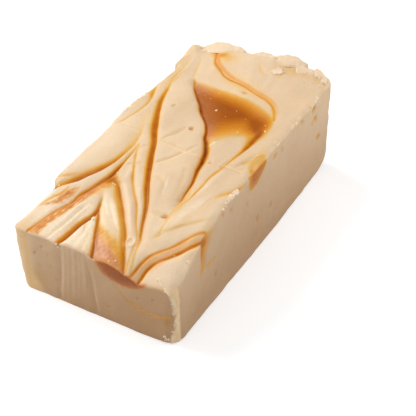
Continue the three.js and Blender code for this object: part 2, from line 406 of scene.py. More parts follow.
INNER_FOLD = (
    (-11.6, -5.6, 0.2, 0.4), (-11.2, -8.4, 0.42, 0.4), (-11.1, -11, 0.55, 0.4), (-10.9, -14, 0.66, 0.5),
    (-10.7, -17, 0.86, 0.8), (-10.7, -19, 0.9, 0.9), (-10.9, -20.6, 0.88, 1.0), (-11.7, -22.2, 0.82, 1.0),
    (-13, -24.6, 0.76, 0.9), (-14, -26.4, 0.74, 0.8), (-15.1, -28, 0.7, 0.7), (-15.8, -29.8, 0.64, 0.6),
    (-16.2, -31.4, 0.6, 0.5), (-17.3, -33, 0.58, 0.5), (-18.5, -35, 0.56, 0.5), (-19.4, -37, 0.54, 0.5),
    (-20.3, -39, 0.54, 0.5), (-20.9, -41, 0.54, 0.5), (-21.5, -43, 0.62, 0.6), (-21.9, -46, 0.68, 0.7),
)
INNER_BAND = (
    (-11.4, -24.6, 0.34, 1.0), (-12.3, -26.2, 0.46, 1.05), (-13.2, -27.7, 0.5, 1.0),
    (-14.6, -30.4, 0.46, 1.0), (-15.6, -32.2, 0.48, 1.0), (-16.4, -34, 0.5, 1.0), (-17.3, -36, 0.46, 1.05),
    (-18, -38.1, 0.44, 1.1), (-18.6, -40, 0.46, 1.15), (-19.1, -42, 0.46, 1.2), (-19.8, -46, 0.44, 1.25),
)
EDGE_PATCH = (
    (-16.6, -26.6, 0.24, 0.5), (-17.5, -28.2, 0.46, 0.9), (-18.3, -29.8, 0.54, 1.1),
    (-19.1, -31.4, 0.54, 1.1), (-19.9, -32.9, 0.46, 0.9), (-21.4, -34.3, 0.36, 0.6),
    (-23.4, -35.6, 0.28, 0.5),
)
EDGE_LINE = (
    (-19.2, -27.8, 0.3, 0.8), (-19.8, -29.6, 0.44, 1.0), (-20.6, -31, 0.44, 1.0), (-21.8, -32.4, 0.36, 1.0),
    (-22.8, -34, 0.32, 1.0), (-23.8, -36, 0.28, 1.0),
)
FRONT_RIB = (
    (-8.4, -21.4, 0.5, 1.0), (-7.1, -22, 0.7, 1.0), (-5.9, -23.2, 0.76, 1.0), (-4.4, -25.2, 0.76, 1.0),
    (-2.8, -27.2, 0.74, 1.0), (-1.2, -29.2, 0.72, 1.0), (0.4, -31.3, 0.72, 1.0), (2, -33.3, 0.72, 1.0),
    (3.3, -35.3, 0.72, 1.0), (4.4, -37.4, 0.7, 1.0), (5.9, -40.2, 0.72, 1.1), (7.1, -42.3, 0.72, 1.2),
    (8.8, -45.8, 0.7, 1.2),
)
RIB_GLOW = (
    (-7.6, -22.4, 0.4, 0.7), (-6.2, -24, 0.44, 0.8), (-4.9, -25.8, 0.44, 0.9), (-3.3, -27.8, 0.42, 0.9),
    (-1.7, -29.8, 0.42, 0.9), (-0.1, -31.9, 0.42, 0.8), (1.5, -33.9, 0.42, 0.7), (2.8, -35.9, 0.44, 0.6),
    (3.9, -38, 0.46, 0.6), (5.4, -40.8, 0.48, 0.7), (7.8, -45.6, 0.5, 0.8),
)
THIN_RIB = (
    (-11.5, -5, 0.22, 0.9), (-10.2, -8.4, 0.3, 0.9), (-9.2, -10.4, 0.32, 1.0), (-7.2, -14.4, 0.38, 1.0),
    (-5.2, -18.1, 0.42, 1.0), (-4.2, -19.6, 0.42, 1.0), (-2.9, -21.2, 0.36, 0.9), (-0.2, -24.6, 0.38, 0.9),
    (1.8, -27.2, 0.4, 1.0), (4.2, -31.2, 0.36, 0.9), (6.4, -34.6, 0.26, 0.8), (7.3, -36.4, 0.2, 0.8),
)
FRONT_CLEFT = (
    (-8.9, -27.4, 0.2, 0.4), (-8.4, -29.4, 0.6, 0.5), (-8.1, -31.4, 0.84, 0.6), (-8.4, -33.2, 0.88, 0.7),
    (-9.1, -34.7, 0.86, 0.9), (-9.9, -36.5, 0.84, 1.0), (-10.4, -38, 0.82, 1.0), (-10.8, -40, 0.8, 1.0),
    (-11.1, -42, 0.78, 1.0), (-11.8, -46, 0.72, 0.9),
)
TONGUE_EDGE = (
    (-8.3, -30.2, 0.6, 0.6), (-7.3, -32, 0.7, 0.7), (-6.5, -33.3, 0.74, 0.75), (-5.7, -34.9, 0.76, 0.75),
    (-4.8, -36.8, 0.78, 0.8), (-3.8, -38.9, 0.8, 0.85), (-2.8, -40.8, 0.82, 0.9), (-1.8, -42.8, 0.84, 1.0),
    (-0.4, -46, 0.82, 1.0),
)
LIP_DARK = (
    (25, -29.6, 0.6, 0.8), (23.4, -30.4, 0.66, 0.8), (22.4, -31.6, 0.74, 0.9), (21, -33.4, 0.8, 1.0),
    (19.6, -35.2, 0.82, 1.1), (18.4, -36.5, 0.74, 1.0), (17, -38, 0.72, 0.9), (15.4, -39.4, 0.7, 0.8),
    (14.2, -40.8, 0.78, 0.9), (13.4, -42.2, 0.8, 0.9), (12.4, -45.8, 0.7, 0.9),
)
LIP_LIGHT = (
    (25.2, -29.2, 0.36, 1.0), (23.8, -27.9, 0.4, 1.0), (22.6, -28.2, 0.42, 1.0), (21.4, -29.2, 0.46, 1.0),
    (20, -30.6, 0.5, 1.0), (18.6, -32.4, 0.54, 1.0), (17.2, -34.4, 0.52, 0.9), (15.6, -36, 0.5, 0.8),
    (14, -37.6, 0.52, 0.9), (12.8, -39, 0.58, 1.0), (11.9, -40.5, 0.62, 1.0), (11.2, -42, 0.62, 1.0),
    (9.8, -45.6, 0.58, 1.0),
)
LIP_GLOW = (
    (22.8, -29.8, 0.24), (20.4, -32.2, 0.3), (18.4, -34.4, 0.32), (16.4, -36.6, 0.32), (14.4, -39, 0.32),
    (12.8, -41, 0.32), (11.4, -44.4, 0.28),
)
SIDE_NICK = (
    (19.8, -18.8, 0.1, 1.0), (20.4, -17.6, 0.26, 1.0), (21.5, -15.8, 0.32, 1.2), (22.8, -14.2, 0.4, 1.1),
    (23.5, -12, 0.45, 1.0), (23.9, -10, 0.36, 0.9), (24.4, -7.4, 0.2, 0.9),
)
FAINT_LINES = (
    (0.45, (
        (12.6, -31.6, 0.12), (14.3, -30, 0.18), (15.6, -28.9, 0.2), (18, -27, 0.14), (19.8, -26, 0.15),
        (22, -25, 0.05),
    )),
    (0.4, ((-20.7, 40, 0.06), (-20.5, 34, 0.22), (-20.4, 28, 0.22), (-20.1, 23, 0.12))),
    (0.3, ((-19.4, 34.6, 0.05), (-19.2, 31, 0.2), (-19, 27, 0.24))),
    (0.35, ((-17.6, 40.2, 0.05), (-16.6, 37, 0.14), (-15.9, 34.5, 0.16), (-15.1, 32, 0.16))),
    (0.3, (
        (-8.9, -35.4, 0.2), (-8.2, -37, 0.3), (-7.4, -38.8, 0.26), (-6.9, -41, 0.14), (-6.6, -43.6, 0.06),
    )),
    (0.25, ((-6.8, -36.2, 0.05), (-5.9, -39.2, 0.2), (-4.6, -42.6, 0.12))),
    (0.55, (
        (-7.7, -26.2, 0.06), (-6.3, -28.4, 0.18), (-4.2, -31, 0.2), (-1.5, -33.5, 0.2), (1.4, -35.6, 0.16),
    )),
    (0.5, ((-8.9, -26.8, 0.06), (-7.2, -29.2, 0.14), (-5.1, -32.2, 0.16), (-2.5, -34.3, 0.12))),
    (0.45, ((-5.4, -27.9, 0.06), (-2.6, -31.1, 0.14), (-0.1, -33.7, 0.16), (2.4, -36.2, 0.12))),
    (0.25, ((2.2, 41.4, 0.1), (3.6, 40, 0.2), (5.8, 38.7, 0.08))),
    (0.3, ((11.2, -34, 0.14), (11.9, -33, 0.3), (12.6, -31.8, 0.12))),
)
LENS_LIP = (
    (-2.2, -44.7, 0.5), (1, -45, 0.66), (5, -45.1, 0.7), (9, -45.1, 0.7), (12.6, -45, 0.6),
)
POOL_CORE = (
    (3.3, 21.4, 0.4, 1.0), (8.4, 19.5, 0.6, 1.0), (13.1, 17.2, 0.79, 1.0), (16.2, 15, 0.86, 1.0),
    (17.1, 11.5, 0.87, 0.72), (16.9, 9.1, 0.84, 0.55), (16.7, 5.8, 0.7, 0.32), (16.4, 2.8, 0.5, 0.2),
    (16.2, -0.4, 0.2, 0.12),
)
RIDGE_LINES = (
    (0.8, (
        (-9.2, -27.6, 0.04), (-11.1, -30.4, 0.12), (-12.9, -34, 0.22), (-13.9, -38.1, 0.24),
        (-14.8, -42.5, 0.22), (-15.2, -46, 0.18),
    )),
    (0.75, (
        (-9.3, -29, 0.04), (-10.3, -31.6, 0.12), (-11.5, -34.7, 0.2), (-12.6, -38.9, 0.22),
        (-13.1, -45.6, 0.18),
    )),
    (0.5, ((-14, -33.6, 0.05), (-15.2, -38, 0.14), (-16.2, -44, 0.14))),
    (0.35, ((-21.4, -36.4, 0.05), (-22.4, -40, 0.12), (-23, -44.4, 0.1))),
    (0.6, ((-7.6, -35, 0.12), (-7.3, -38.4, 0.16), (-7.2, -41.4, 0.12), (-6.8, -45.6, 0.1))),
    (0.5, ((-6.9, -36.4, 0.1), (-5.4, -40.6, 0.14), (-4, -45, 0.1))),
)
SCRATCHES = (
    (0.4, ((-6.5, -0.6, 0.1), (-4.9, 3.2, 0.14), (-3.2, 7.1, 0.06))),
    (0.45, ((-6.4, -1.5, 0.12), (-1.7, -1.7, 0.14), (3.4, -2.5, 0.14), (7.8, -2.3, 0.1))),
    (-0.3, ((-6, -2.3, 0.1), (-1.7, -2.5, 0.14), (3.2, -3.3, 0.14), (7.4, -3.2, 0.08))),
    (0.45, ((-2.2, -10.7, 0.16), (0, -7.5, 0.18), (1.6, -4.2, 0.14), (4.3, 2.3, 0.06))),
    (0.35, ((-23.4, 1.1, 0.08), (-19.4, 0.9, 0.12), (-14.8, 0.5, 0.1), (-10.6, -0.1, 0.08))),
    (0.4, ((-11.1, -6.8, 0.1), (-9.6, -5.4, 0.12), (-8.2, -4.1, 0.1))),
    (0.5, ((-9.8, -16.6, 0.1), (-8.4, -14, 0.14), (-5.6, -12.8, 0.16), (-3.6, -12.6, 0.12))),
    (-0.4, ((-9.4, -17.4, 0.08), (-7.6, -15, 0.1), (-5.2, -13.7, 0.1), (-3.2, -13.4, 0.08))),
    (0.3, ((7, -10.2, 0.1), (8.4, -14.4, 0.12), (9.5, -18.1, 0.1), (9.9, -22, 0.06))),
    (0.2, ((-0.6, -16.5, 0.08), (3.1, -16.3, 0.12), (5.4, -18.6, 0.12), (6.3, -21.6, 0.08))),
    (0.35, ((5.7, -27.3, 0.06), (9.8, -27.3, 0.12), (12, -27.6, 0.1))),
    (-0.5, (
        (12.8, -30.4, 0.12), (13.6, -27.4, 0.16), (14.7, -25, 0.16), (16.1, -22, 0.12), (17.6, -19.4, 0.06),
    )),
    (-0.4, ((13.4, -30.2, 0.1), (16, -27.6, 0.14), (19.8, -25, 0.12), (21.9, -23.2, 0.06))),
    (0.2, (
        (14.4, -27.5, 0.08), (16.7, -24.6, 0.14), (18.5, -22.3, 0.12), (19.6, -18.2, 0.1),
        (21.7, -16, 0.08),
    )),
    (-0.3, ((15.2, -27.4, 0.06), (17.4, -24.4, 0.12), (19.3, -22, 0.12), (20.6, -18, 0.08))),
    (0.3, ((13.2, -3.2, 0.06), (16.5, -3.9, 0.1), (19.6, -4.1, 0.14), (21.8, -4, 0.04))),
    (0.3, ((13, -4.6, 0.06), (17, -5.2, 0.1), (20, -5.4, 0.14), (21.8, -5.4, 0.04))),
    (0.3, ((18.6, -4.1, 0.1), (20, 0.4, 0.14), (21.6, 4.4, 0.04))),
)
RIB_LINES = (
    (0.35, ((7, -35.6, 0.2), (7.5, -38, 0.36), (8.2, -42, 0.46), (9, -45.4, 0.5))),
    (0.35, ((8.5, -36.4, 0.2), (9.2, -39.6, 0.34), (9.8, -42.6, 0.42), (10.3, -45.4, 0.4))),
    (0.3, ((4.6, -38, 0.3), (6, -40.2, 0.44), (7.2, -42.6, 0.44), (8.2, -45.2, 0.4))),
    (0.25, (
        (12.2, -40.4, 0.34), (14, -38.4, 0.4), (16.2, -35.6, 0.36), (19, -32.9, 0.36), (21.4, -30.2, 0.24),
    )),
    (0.25, (
        (11.6, -41.6, 0.3), (13.6, -39.2, 0.3), (16.4, -36.4, 0.24), (20, -32.2, 0.2), (22.6, -29.6, 0.1),
    )),
)
BUBBLE = tuple(
    (5.8 + 1.2 * math.cos(turn), -37 + 1.3 * math.sin(turn), 0.2)
    for turn in np.linspace(0.0, 2.0 * math.pi, 13)
)
# Painted highlight round the bubble's raised rim.
RING_HIGHLIGHT = tuple((x, y, 0.6, 0.28) for x, y, _ in BUBBLE)
# Painted shade: darker patches on the top, drawn with the cut faces' tone.
SHADE_PATCHES = (
    (Spot((-20, 36), (5, 10), soft=0.6), 0.14),
    (Spot((17, 14), (13, 36), soft=0.4), 0.22),
    (Spot((-7.5, 13), (5, 10), soft=0.5), 0.24),
    (Spot((6, -20), (4, 12), turn=-0.4, soft=0.6), 0.14),
    (Spot((-7, -40), (3, 5), soft=0.7), 0.2),
    (Spot((16, -38), (5, 4), soft=0.7), 0.12),
)
# Painted highlights: pale patches where light falls brightest on the top.
HIGHLIGHT_PATCHES = (
    (Spot((-13, -38), (11, 9), soft=0.6), 0.9),
    (Spot((-24, -31.4), (2.0, 2.8), soft=0.6), 1.0),
    (Spot((-4.2, -30.6), (6.2, 1.6), turn=-0.69, soft=0.6), 0.8),
    (Spot((-22.4, -8), (3.4, 14), soft=0.8), 0.42),
    (Spot((18, -41), (5, 4), soft=0.7), 0.22),
    (Spot((-6, -42), (3, 3), soft=0.7), 0.25),
    (Spot((-18.4, -26.4), (6, 1.6), turn=0.8, soft=0.8), 0.3),
    (Spot((15, -25), (1.2, 6), turn=-0.5, soft=0.8), 0.5),
)
# Raised crests, each also painted with a highlight along it.
HIGHLIT_CRESTS = (
    ((-6, -2.3, 0.2, 0.35), (-1.7, -2.5, 0.4, 0.35), (3.2, -3.3, 0.4, 0.35), (7.4, -3.2, 0.2, 0.35)),
    ((-1.3, -11, 0.3, 0.35), (0.9, -7.8, 0.4, 0.35), (2.5, -4.5, 0.3, 0.35), (5.1, 2, 0.1, 0.35)),
    ((4.6, -15.6, 0.3, 0.35), (5.6, -18.4, 0.55, 0.35), (6.2, -21.4, 0.3, 0.35)),
    ((14, -4.1, 0.2, 0.35), (17.6, -4.6, 0.4, 0.35), (21.4, -4.7, 0.2, 0.35)),
    ((-22.4, 0.4, 0.2, 0.35), (-19, 0.2, 0.4, 0.35), (-14.6, -0.2, 0.3, 0.35)),
    (
        (-5.2, -22.2, 0.3, 0.6), (-2.2, -25.6, 0.5, 0.6), (0.4, -29, 0.55, 0.6), (2.2, -31.6, 0.5, 0.6),
        (3.8, -34, 0.3, 0.5),
    ),
    (
        (-2.6, -18, 0.2, 0.6), (-0.4, -22.5, 0.4, 0.6), (1.4, -25, 0.45, 0.6), (4, -29, 0.4, 0.5),
        (6.2, -33, 0.2, 0.4),
    ),
    ((-8.6, -12, 0.2, 0.6), (-6.8, -16.6, 0.4, 0.6), (-6.4, -19.8, 0.4, 0.5)),
    ((-13.2, -31.6, 0.3, 0.5), (-14.2, -35, 0.45, 0.5), (-15.2, -40, 0.4, 0.6), (-15.9, -45, 0.3, 0.6)),
    ((-11.2, -31.6, 0.3, 0.4), (-12.5, -35.6, 0.45, 0.4), (-13.4, -40, 0.4, 0.5), (-14, -45, 0.3, 0.5)),
    ((13.4, -29.6, 0.3, 0.4), (14.4, -26.8, 0.5, 0.5), (16.4, -23.2, 0.4, 0.5), (18.4, -20, 0.2, 0.5)),
    ((14.2, -20.4, 0.1, 0.5), (15.4, -16.4, 0.4, 0.6), (15.8, -12, 0.4, 0.6), (16.2, -7, 0.2, 0.6)),
)
FRONT_PITS = (
    (-17, 17.2), (-14.6, 11.4), (-13.3, 7), (-18.4, 10.4), (-15.4, 15.2), (-16.2, 5.6), (-19.6, 14.2),
    (-3.2, 9.4), (8.4, 15.4), (12.6, 12.6), (3.4, 5.2), (17.4, 14.2),
)
FRONT_STREAKS = (
    ((-10.3, 24, 0.2, 0.5), (-10.8, 12, 0.3, 0.5), (-11.8, 1, 0.16, 0.5)),
    ((-8.5, 24, 0.14, 0.35), (-9, 14, 0.26, 0.35), (-10, 1, 0.1, 0.35)),
    ((-6.7, 24, 0.2, 0.45), (-7.2, 14, 0.28, 0.45), (-8, 3, 0.1, 0.45)),
    ((-5.1, 24, 0.14, 0.3), (-5.5, 14, 0.24, 0.3), (-6.2, 4, 0.06, 0.3)),
    ((-3.6, 23, 0.14, 0.5), (-3.9, 14, 0.22, 0.5), (-4.3, 5, 0.06, 0.5)),
    ((-1.2, 16, 0.1, 0.4), (-0.7, 9, 0.18, 0.4), (0, 1, 0.1, 0.4)),
)
DRAG_LINES = (
    (0.4, ((-10.7, 25, 0.06), (-11.2, 15, 0.1), (-11.8, 8, 0.1), (-12.4, 1, 0.06))),
    (0.16, ((-9.3, 25, 0.02), (-9.9, 14, 0.04), (-10.8, 0, 0.02))),
    (0.2, ((-7.6, 25, 0.03), (-8.2, 14, 0.05), (-9.2, 0, 0.03))),
    (0.18, ((-5.7, 24, 0.03), (-6.2, 14, 0.05), (-6.9, 3, 0.02))),
    (0.22, ((-4.5, 24, 0.03), (-4.9, 14, 0.05), (-5.5, 4, 0.02))),
    (0.4, ((-3.4, 20.6, 0.02), (-2.4, 16.7, 0.08), (-1.6, 10.9, 0.1), (-0.6, 1.3, 0.06))),
)
FLAKES = (
    ((-13.4, 44.7), (6.6, 1.9), 0.02, (0.25, 1.6), 0.7, 0.3, 21),
    ((-12.4, 43.7), (3.4, 1.2), 0.05, (0.3, 0.8), 0.2, 0.3, 31),
    ((-7.6, 45.0), (3.4, 1.0), -0.08, (0.15, 1.1), 0.6, 0.3, 32),
    ((2.6, 44.7), (3.8, 1.1), 0.0, (0.05, 0.5), 0.1, 0.35, 22),
    ((11.2, 44.5), (5.2, 1.5), 0.02, (0.3, 1.9), 0.4, 0.35, 23),
    ((10.2, 43.6), (2.9, 0.9), 0.1, (0.35, 0.9), 0.2, 0.35, 24),
    ((15.3, 43.2), (1.9, 1.4), 0.1, (0.3, 0.6), 0.1, 0.35, 25),
    ((20.0, 44.4), (2.0, 1.5), 0.1, (0.4, 1.0), 0.3, 0.35, 26),
    ((17.6, 43.8), (1.4, 1.0), -0.2, (0.25, 0.6), 0.1, 0.35, 27),
    ((8.4, 40.8), (2.0, 1.0), 0.3, (0.2, 0.1), 0.1, 0.2, 28, 0.2),
    ((22.4, 43.4), (1.1, 1.4), 0.1, (0.25, 0.5), 0.1, 0.35, 29),
)
FRONT_VEIN = (
    (4.6, 15, 0.1), (6.7, 12.8, 0.26), (10.2, 9.8, 0.36), (16.3, 8.4, 0.42), (21.2, 9.6, 0.46),
    (22.2, 10.2, 0.3),
)
SIDE_FOLD = (
    (-30, 29, 0.6, 1.1), (-30.4, 26, 0.62, 1.0), (-30.8, 23.4, 0.6, 0.75), (-31.3, 20, 0.52, 0.45),
    (-31.7, 16.6, 0.36, 0.2),
)
SIDE_BRANCH = ((-31.8, 15.6, 0.36), (-31, 17.2, 0.4), (-28, 16.4, 0.4), (-24.5, 16.2, 0.2))
LEFT_SIDE_FOLD = ((-30, 30, 0.5), (-29.4, 22, 0.4), (-27, 15, 0.25), (-22, 10, 0.1))
LEFT_SIDE_VEIN = ((20.4, 30, 0.4), (17, 20, 0.3), (6, 14.5, 0.28), (-6, 12.5, 0.1))
REAR_FOLD = ((-13.4, 34, 0.6), (-12, 27, 0.5), (-8, 20, 0.36), (0, 15, 0.3), (9, 13, 0.1))
REAR_VEIN = ((23, 20, 0.2), (15, 22, 0.3), (6, 25, 0.1))


def fold_lines(rows: tuple[tuple[float, Route], ...], deeper: float = 1.0, **looks: object) -> list[Fold]:
    """Turn rows of a table of fine lines into folds.

    Args:
        rows: The depth in mm and the route of each line.
        deeper: What to multiply the depths by.
        **looks: What else the folds have in common.

    Returns:
        The folds.
    """
    return [Fold(route, depth=deeper * depth, **looks) for depth, route in rows]


TOP = Pattern(
    folds=(
        Fold(LONG_FOLD, left=0.7, right=1.3, depth=1.1, valley=(1.6, 2.4), flat=2.6),
        Fold(LONG_EDGE, left=0.25, right=0.4),
        Fold(CENTRE_CLEFT, left=0.95, right=0.6, depth=1.6, valley=(2.2, 1.7)),
        Fold(RIGHT_VEIN, left=0.5, right=0.6, depth=0.5),
        Fold(BACK_CURVE, left=0.45, right=0.6, depth=0.45),
        Fold(BACK_GLOW, left=0.85, right=0.6, milk=0.35, stain=1.5),
        Fold(LEFT_NICK, left=0.5, right=1.0, depth=0.9),
        Fold(LEFT_FOLD, left=0.5, right=1.7, depth=1.5),
        Fold(LEFT_ECHO, left=0.5, right=0.8, depth=0.5, milk=0.3),
        Fold(INNER_FOLD, left=0.7, right=0.95, depth=1.4),
        Fold(INNER_BAND, left=1.6, right=1.6, depth=0.6, milk=0.45, flat=5.0, stain=1.22, crackle=0.36),
        Fold(EDGE_PATCH, left=1.2, right=1.1, depth=0.5, milk=0.5, flat=3.0, stain=1.1, crackle=0.36),
        Fold(EDGE_LINE, left=0.6, right=0.6, depth=0.5),
        Fold(FRONT_RIB, left=0.3, right=0.5, depth=1.2, valley=(1.3, 2.4)),
        Fold(RIB_GLOW, left=0.9, right=1.6),
        Fold(THIN_RIB, left=0.35, right=0.5, depth=1.1, valley=(1.2, 1.2), stain=1.15),
        Fold(BUBBLE, left=0.3, right=0.3, depth=-0.65, milk=0.8, valley=(0.35, 0.35), deepen=6.0),
        Fold(FRONT_CLEFT, left=0.35, right=1.5, depth=1.8, valley=(1.3, 3.6)),
        Fold(TONGUE_EDGE, left=0.6, right=0.9, depth=1.0, valley=(2.4, 2.0)),
        Fold(LIP_DARK, left=0.75, right=0.6, depth=1.0),
        Fold(LIP_LIGHT, left=0.55, right=0.5, depth=0.55, milk=0.2, stain=1.15),
        Fold(LIP_GLOW, left=1.1, right=1.1, milk=0.7, stain=0.95),
        Fold(SIDE_NICK, left=0.5, right=0.7, depth=0.5),
        Fold(LENS_LIP, left=0.5, right=0.45, depth=0.2),
        Fold(POOL_CORE, left=1.9, right=3.0, flat=1.8),
        *fold_lines(FAINT_LINES, left=0.4, right=0.5, deepen=5.0),
        *fold_lines(RIDGE_LINES, left=0.35, right=0.5, valley=(0.8, 1.1), deepen=5.0),
        *fold_lines(SCRATCHES, 1.3, left=0.3, right=0.4, valley=(0.45, 0.8), deepen=9.0, stain=0.8),
        *fold_lines(RIB_LINES, left=0.24, right=0.28, valley=(0.5, 0.8), deepen=5.0, stain=0.9),
        *(Fold(route, left=0.7, right=0.7, depth=-0.24, valley=(1.1, 1.1), stain=0.0) for route in HIGHLIT_CRESTS),
    ),
    spots=(
        Spot((3, -45.1), (5.4, 0.5), caramel=0.56, milk=0.15, turn=-0.02),
        Spot((-10.2, -19.4), (1.0, 2.4), caramel=0.7, milk=0.25, turn=0.2, soft=0.6),
        Spot((-10.4, -22.4), (2.5, 1.7), caramel=0.7, milk=0.1, turn=0.6, soft=0.7),
        Spot((-10.8, -24.4), (2.2, 1.2), caramel=0.5, milk=0.1, turn=0.3, soft=0.8),
        Spot((-8.3, -21.9), (1.7, 0.8), caramel=0.54, milk=0.2, turn=-0.1, soft=0.7),
        Spot((-9.6, -24), (2.0, 1.0), caramel=0.38, milk=0.2, turn=0.4, soft=0.8),
        Spot((-12.4, -26.4), (1.4, 2.4), caramel=0.52, milk=0.2, turn=-0.5, soft=0.7),
        Spot((-10.2, -26.4), (1.2, 2.4), caramel=0.22, milk=0.3, turn=-0.5, soft=0.8),
        Spot((12.7, -21.4), (1.0, 5.4), caramel=0.22, turn=0.06, soft=0.8),
        Spot((16.6, -39.6), (3.6, 0.8), caramel=0.28, milk=0.7, turn=0.86, soft=0.8),
        Spot((17.4, -35.6), (6.5, 0.9), caramel=0.12, milk=0.9, turn=0.86, soft=0.7),
        # Painted shadows: warm shade on the top under the rear flakes.
        Spot((-11.4, 42), (3.0, 1.1), caramel=0.46, soft=0.8),
        Spot((-9.2, 41.4), (3.2, 1.6), caramel=0.26, soft=0.9),
        Spot((12, 42.4), (3.4, 0.9), caramel=0.18, soft=0.9),
        Spot((9.4, 39.8), (1.4, 0.6), caramel=0.16, soft=0.8),
        Spot((16.8, 42.2), (1.4, 0.7), caramel=0.14, soft=0.9),
        Spot((20.8, 42.4), (2.2, 0.8), caramel=0.12, soft=0.9),
        Spot((22.9, 0.6), (1.7, 4.5), caramel=0.28, soft=0.25),
        Spot((23.4, -3.2), (0.8, 1.3), caramel=0.42, soft=0.6),
        Spot((20.2, -0.4), (1.8, 0.6), caramel=0.3, turn=1.0, soft=0.7),
        Spot((22, 5.4), (0.8, 2.2), caramel=0.16, soft=0.9),
        Spot((2.9, 30.4), (0.9, 0.45), caramel=0.36, depth=0.5, turn=0.3),
        Spot((-12.1, 15.2), (0.8, 0.6), caramel=0.1, depth=0.5, soft=0.35),
        Spot((-1.6, 7.2), (0.75, 0.65), caramel=0.34, milk=0.4, depth=1.1, soft=0.35),
        Spot((11, -4.4), (0.9, 0.5), caramel=0.26, milk=0.3, depth=0.5, turn=-0.7, soft=0.4),
        Spot((10.5, -27.2), (0.9, 0.5), caramel=0.4, milk=0.3, depth=0.7, turn=0.4),
        Spot((-1.2, -28), (3, 9), caramel=0.07, milk=1.0, turn=0.62, soft=0.9),
        Spot((3.6, -29.6), (1.6, 7), caramel=0.09, milk=1.0, turn=0.62, soft=0.8),
        Spot((5.8, -37), (0.9, 1.0), caramel=0.06, milk=0.9, depth=0.25, soft=0.4),
        Spot((-23.4, -43), (1.6, 3), caramel=0.16, soft=0.8),
        Spot((21.8, 0.8), (2.4, 3.6), caramel=0.12, soft=0.6),
        Spot((-22.4, 33), (1.6, 11), caramel=0.1, soft=0.8),
        Spot((0, 33.4), (9, 2.4), caramel=0.17, milk=0.1, turn=-0.35, soft=0.9),
        # Painted shadow under the rear right flakes.
        Spot((14, 41.6), (3.4, 0.7), caramel=0.1, turn=0.05, soft=0.8),
    ),
)
FRONT = Pattern(
    folds=(
        Fold(FRONT_VEIN, left=0.55, right=0.6, depth=0.2, milk=0.35),
        *fold_lines(DRAG_LINES, left=0.3, right=0.5, valley=(0.5, 1.2), deepen=9.0, stain=0.25),
    ),
    spots=(
        Spot((-21, 4.5), (4, 4.5), caramel=0.2, milk=0.2, soft=0.9),
        *(Spot(place, (0.3, 0.25), caramel=0.3, milk=0.5, depth=0.35) for place in FRONT_PITS),
        Spot((0, 12), (34, 20), caramel=0.075, milk=0.6, soft=0.3),
        Spot((14, 8), (10, 8), caramel=0.09, milk=0.6, soft=0.9),
        Spot((21.4, 8), (1.2, 2.0), caramel=0.22, milk=0.2, soft=0.8),
    ),
)
SIDE_PITS = (
    ((37.7, 15.4), (1.0, 0.8), 0.44, 0.2, 0.7),
    ((34.8, 23.8), (1.0, 0.8), 0.46, 0.2, 0.7),
    ((33, 23.4), (0.6, 0.6), 0.46, 0.2, 0.5),
    ((31.6, 29.6), (0.4, 0.35), 0.24, 0.4, 0.4),
    ((25.6, 28.2), (0.8, 0.6), 0.36, 0.2, 0.4),
    ((13, 26.7), (0.7, 0.6), 0.2, 0.4, 0.4),
    ((-20.5, 27.3), (0.45, 0.45), 0.34, 0.3, 0.4),
    ((-7.1, 21.1), (0.4, 0.5), 0.14, 0.5, 0.35),
    ((-11.2, 16.5), (0.35, 0.45), 0.2, 0.3, 0.35),
)
RIGHT = Pattern(
    folds=(
        Fold(SIDE_FOLD, left=3.2, right=0.45, depth=0.7, milk=0.35),
        Fold(SIDE_BRANCH, left=0.45, right=0.5, depth=0.2),
    ),
    spots=(
        *(Spot(*row, soft=0.6) for row in SIDE_PITS),
        Spot((8.8, 27.1), (1.1, 0.8), caramel=0.32, milk=0.2, depth=0.5, turn=0.5, soft=0.6),
        Spot((6.9, 11.2), (1.1, 0.8), caramel=0.12, depth=0.6),
        Spot((-24.8, 9.8), (0.8, 0.7), caramel=0.12, depth=0.4),
        Spot((33.4, 28.0), (1.3, 0.9), caramel=0.56, milk=0.2, depth=0.9, soft=0.5),
        Spot((-16.4, 26), (0.8, 0.6), caramel=0.18, milk=0.4, depth=0.5, soft=0.5),
        Spot((-0.5, 11.5), (0.6, 1.1), caramel=0.26, milk=0.3, depth=0.5, soft=0.7),
    ),
)
LEFT = Pattern(
    folds=(
        Fold(LEFT_SIDE_FOLD, left=0.8, right=0.7, depth=0.5),
        Fold(LEFT_SIDE_VEIN, left=0.5, right=0.6, depth=0.3),
    ),
    spots=(
        Spot((30, 12), (0.9, 0.7), caramel=0.12, depth=0.5),
        Spot((-10, 21), (0.8, 0.8), caramel=0.12, depth=0.5),
        Spot((8, 7), (1.0, 0.8), caramel=0.12, depth=0.5),
    ),
)
REAR = Pattern(
    folds=(
        Fold(REAR_FOLD, left=0.8, right=0.6, depth=0.5),
        Fold(REAR_VEIN, left=0.5, right=0.4, depth=0.2),
    ),
    spots=(
        Spot((17, 9), (0.9, 0.7), caramel=0.12, depth=0.5),
        Spot((-18, 16), (0.8, 0.6), caramel=0.12, depth=0.5),
    ),
)
PATTERNS = {Face.TOP: TOP, Face.FRONT: FRONT, Face.RIGHT: RIGHT, Face.REAR: REAR, Face.LEFT: LEFT}


def reach_from(route: Route, u: Array, v: Array, side: int) -> Array:
    """Measure how far points lie to one side of a route.

    Args:
        route: The route, as for a fold.
        u, v: Coordinates of each point in the face, mm.
        side: 1 to measure to the left of the route, -1 to its right.

    Returns:
        The distance, less than 0 on the other side and far from the route.
    """
    reach = np.full(len(u), FAR_OUTSIDE)
    near, gap, *_ = Fold(route, 1, 1).measure(u, v, LOOK_AROUND)
    reach[near] = gap * side
    return reach


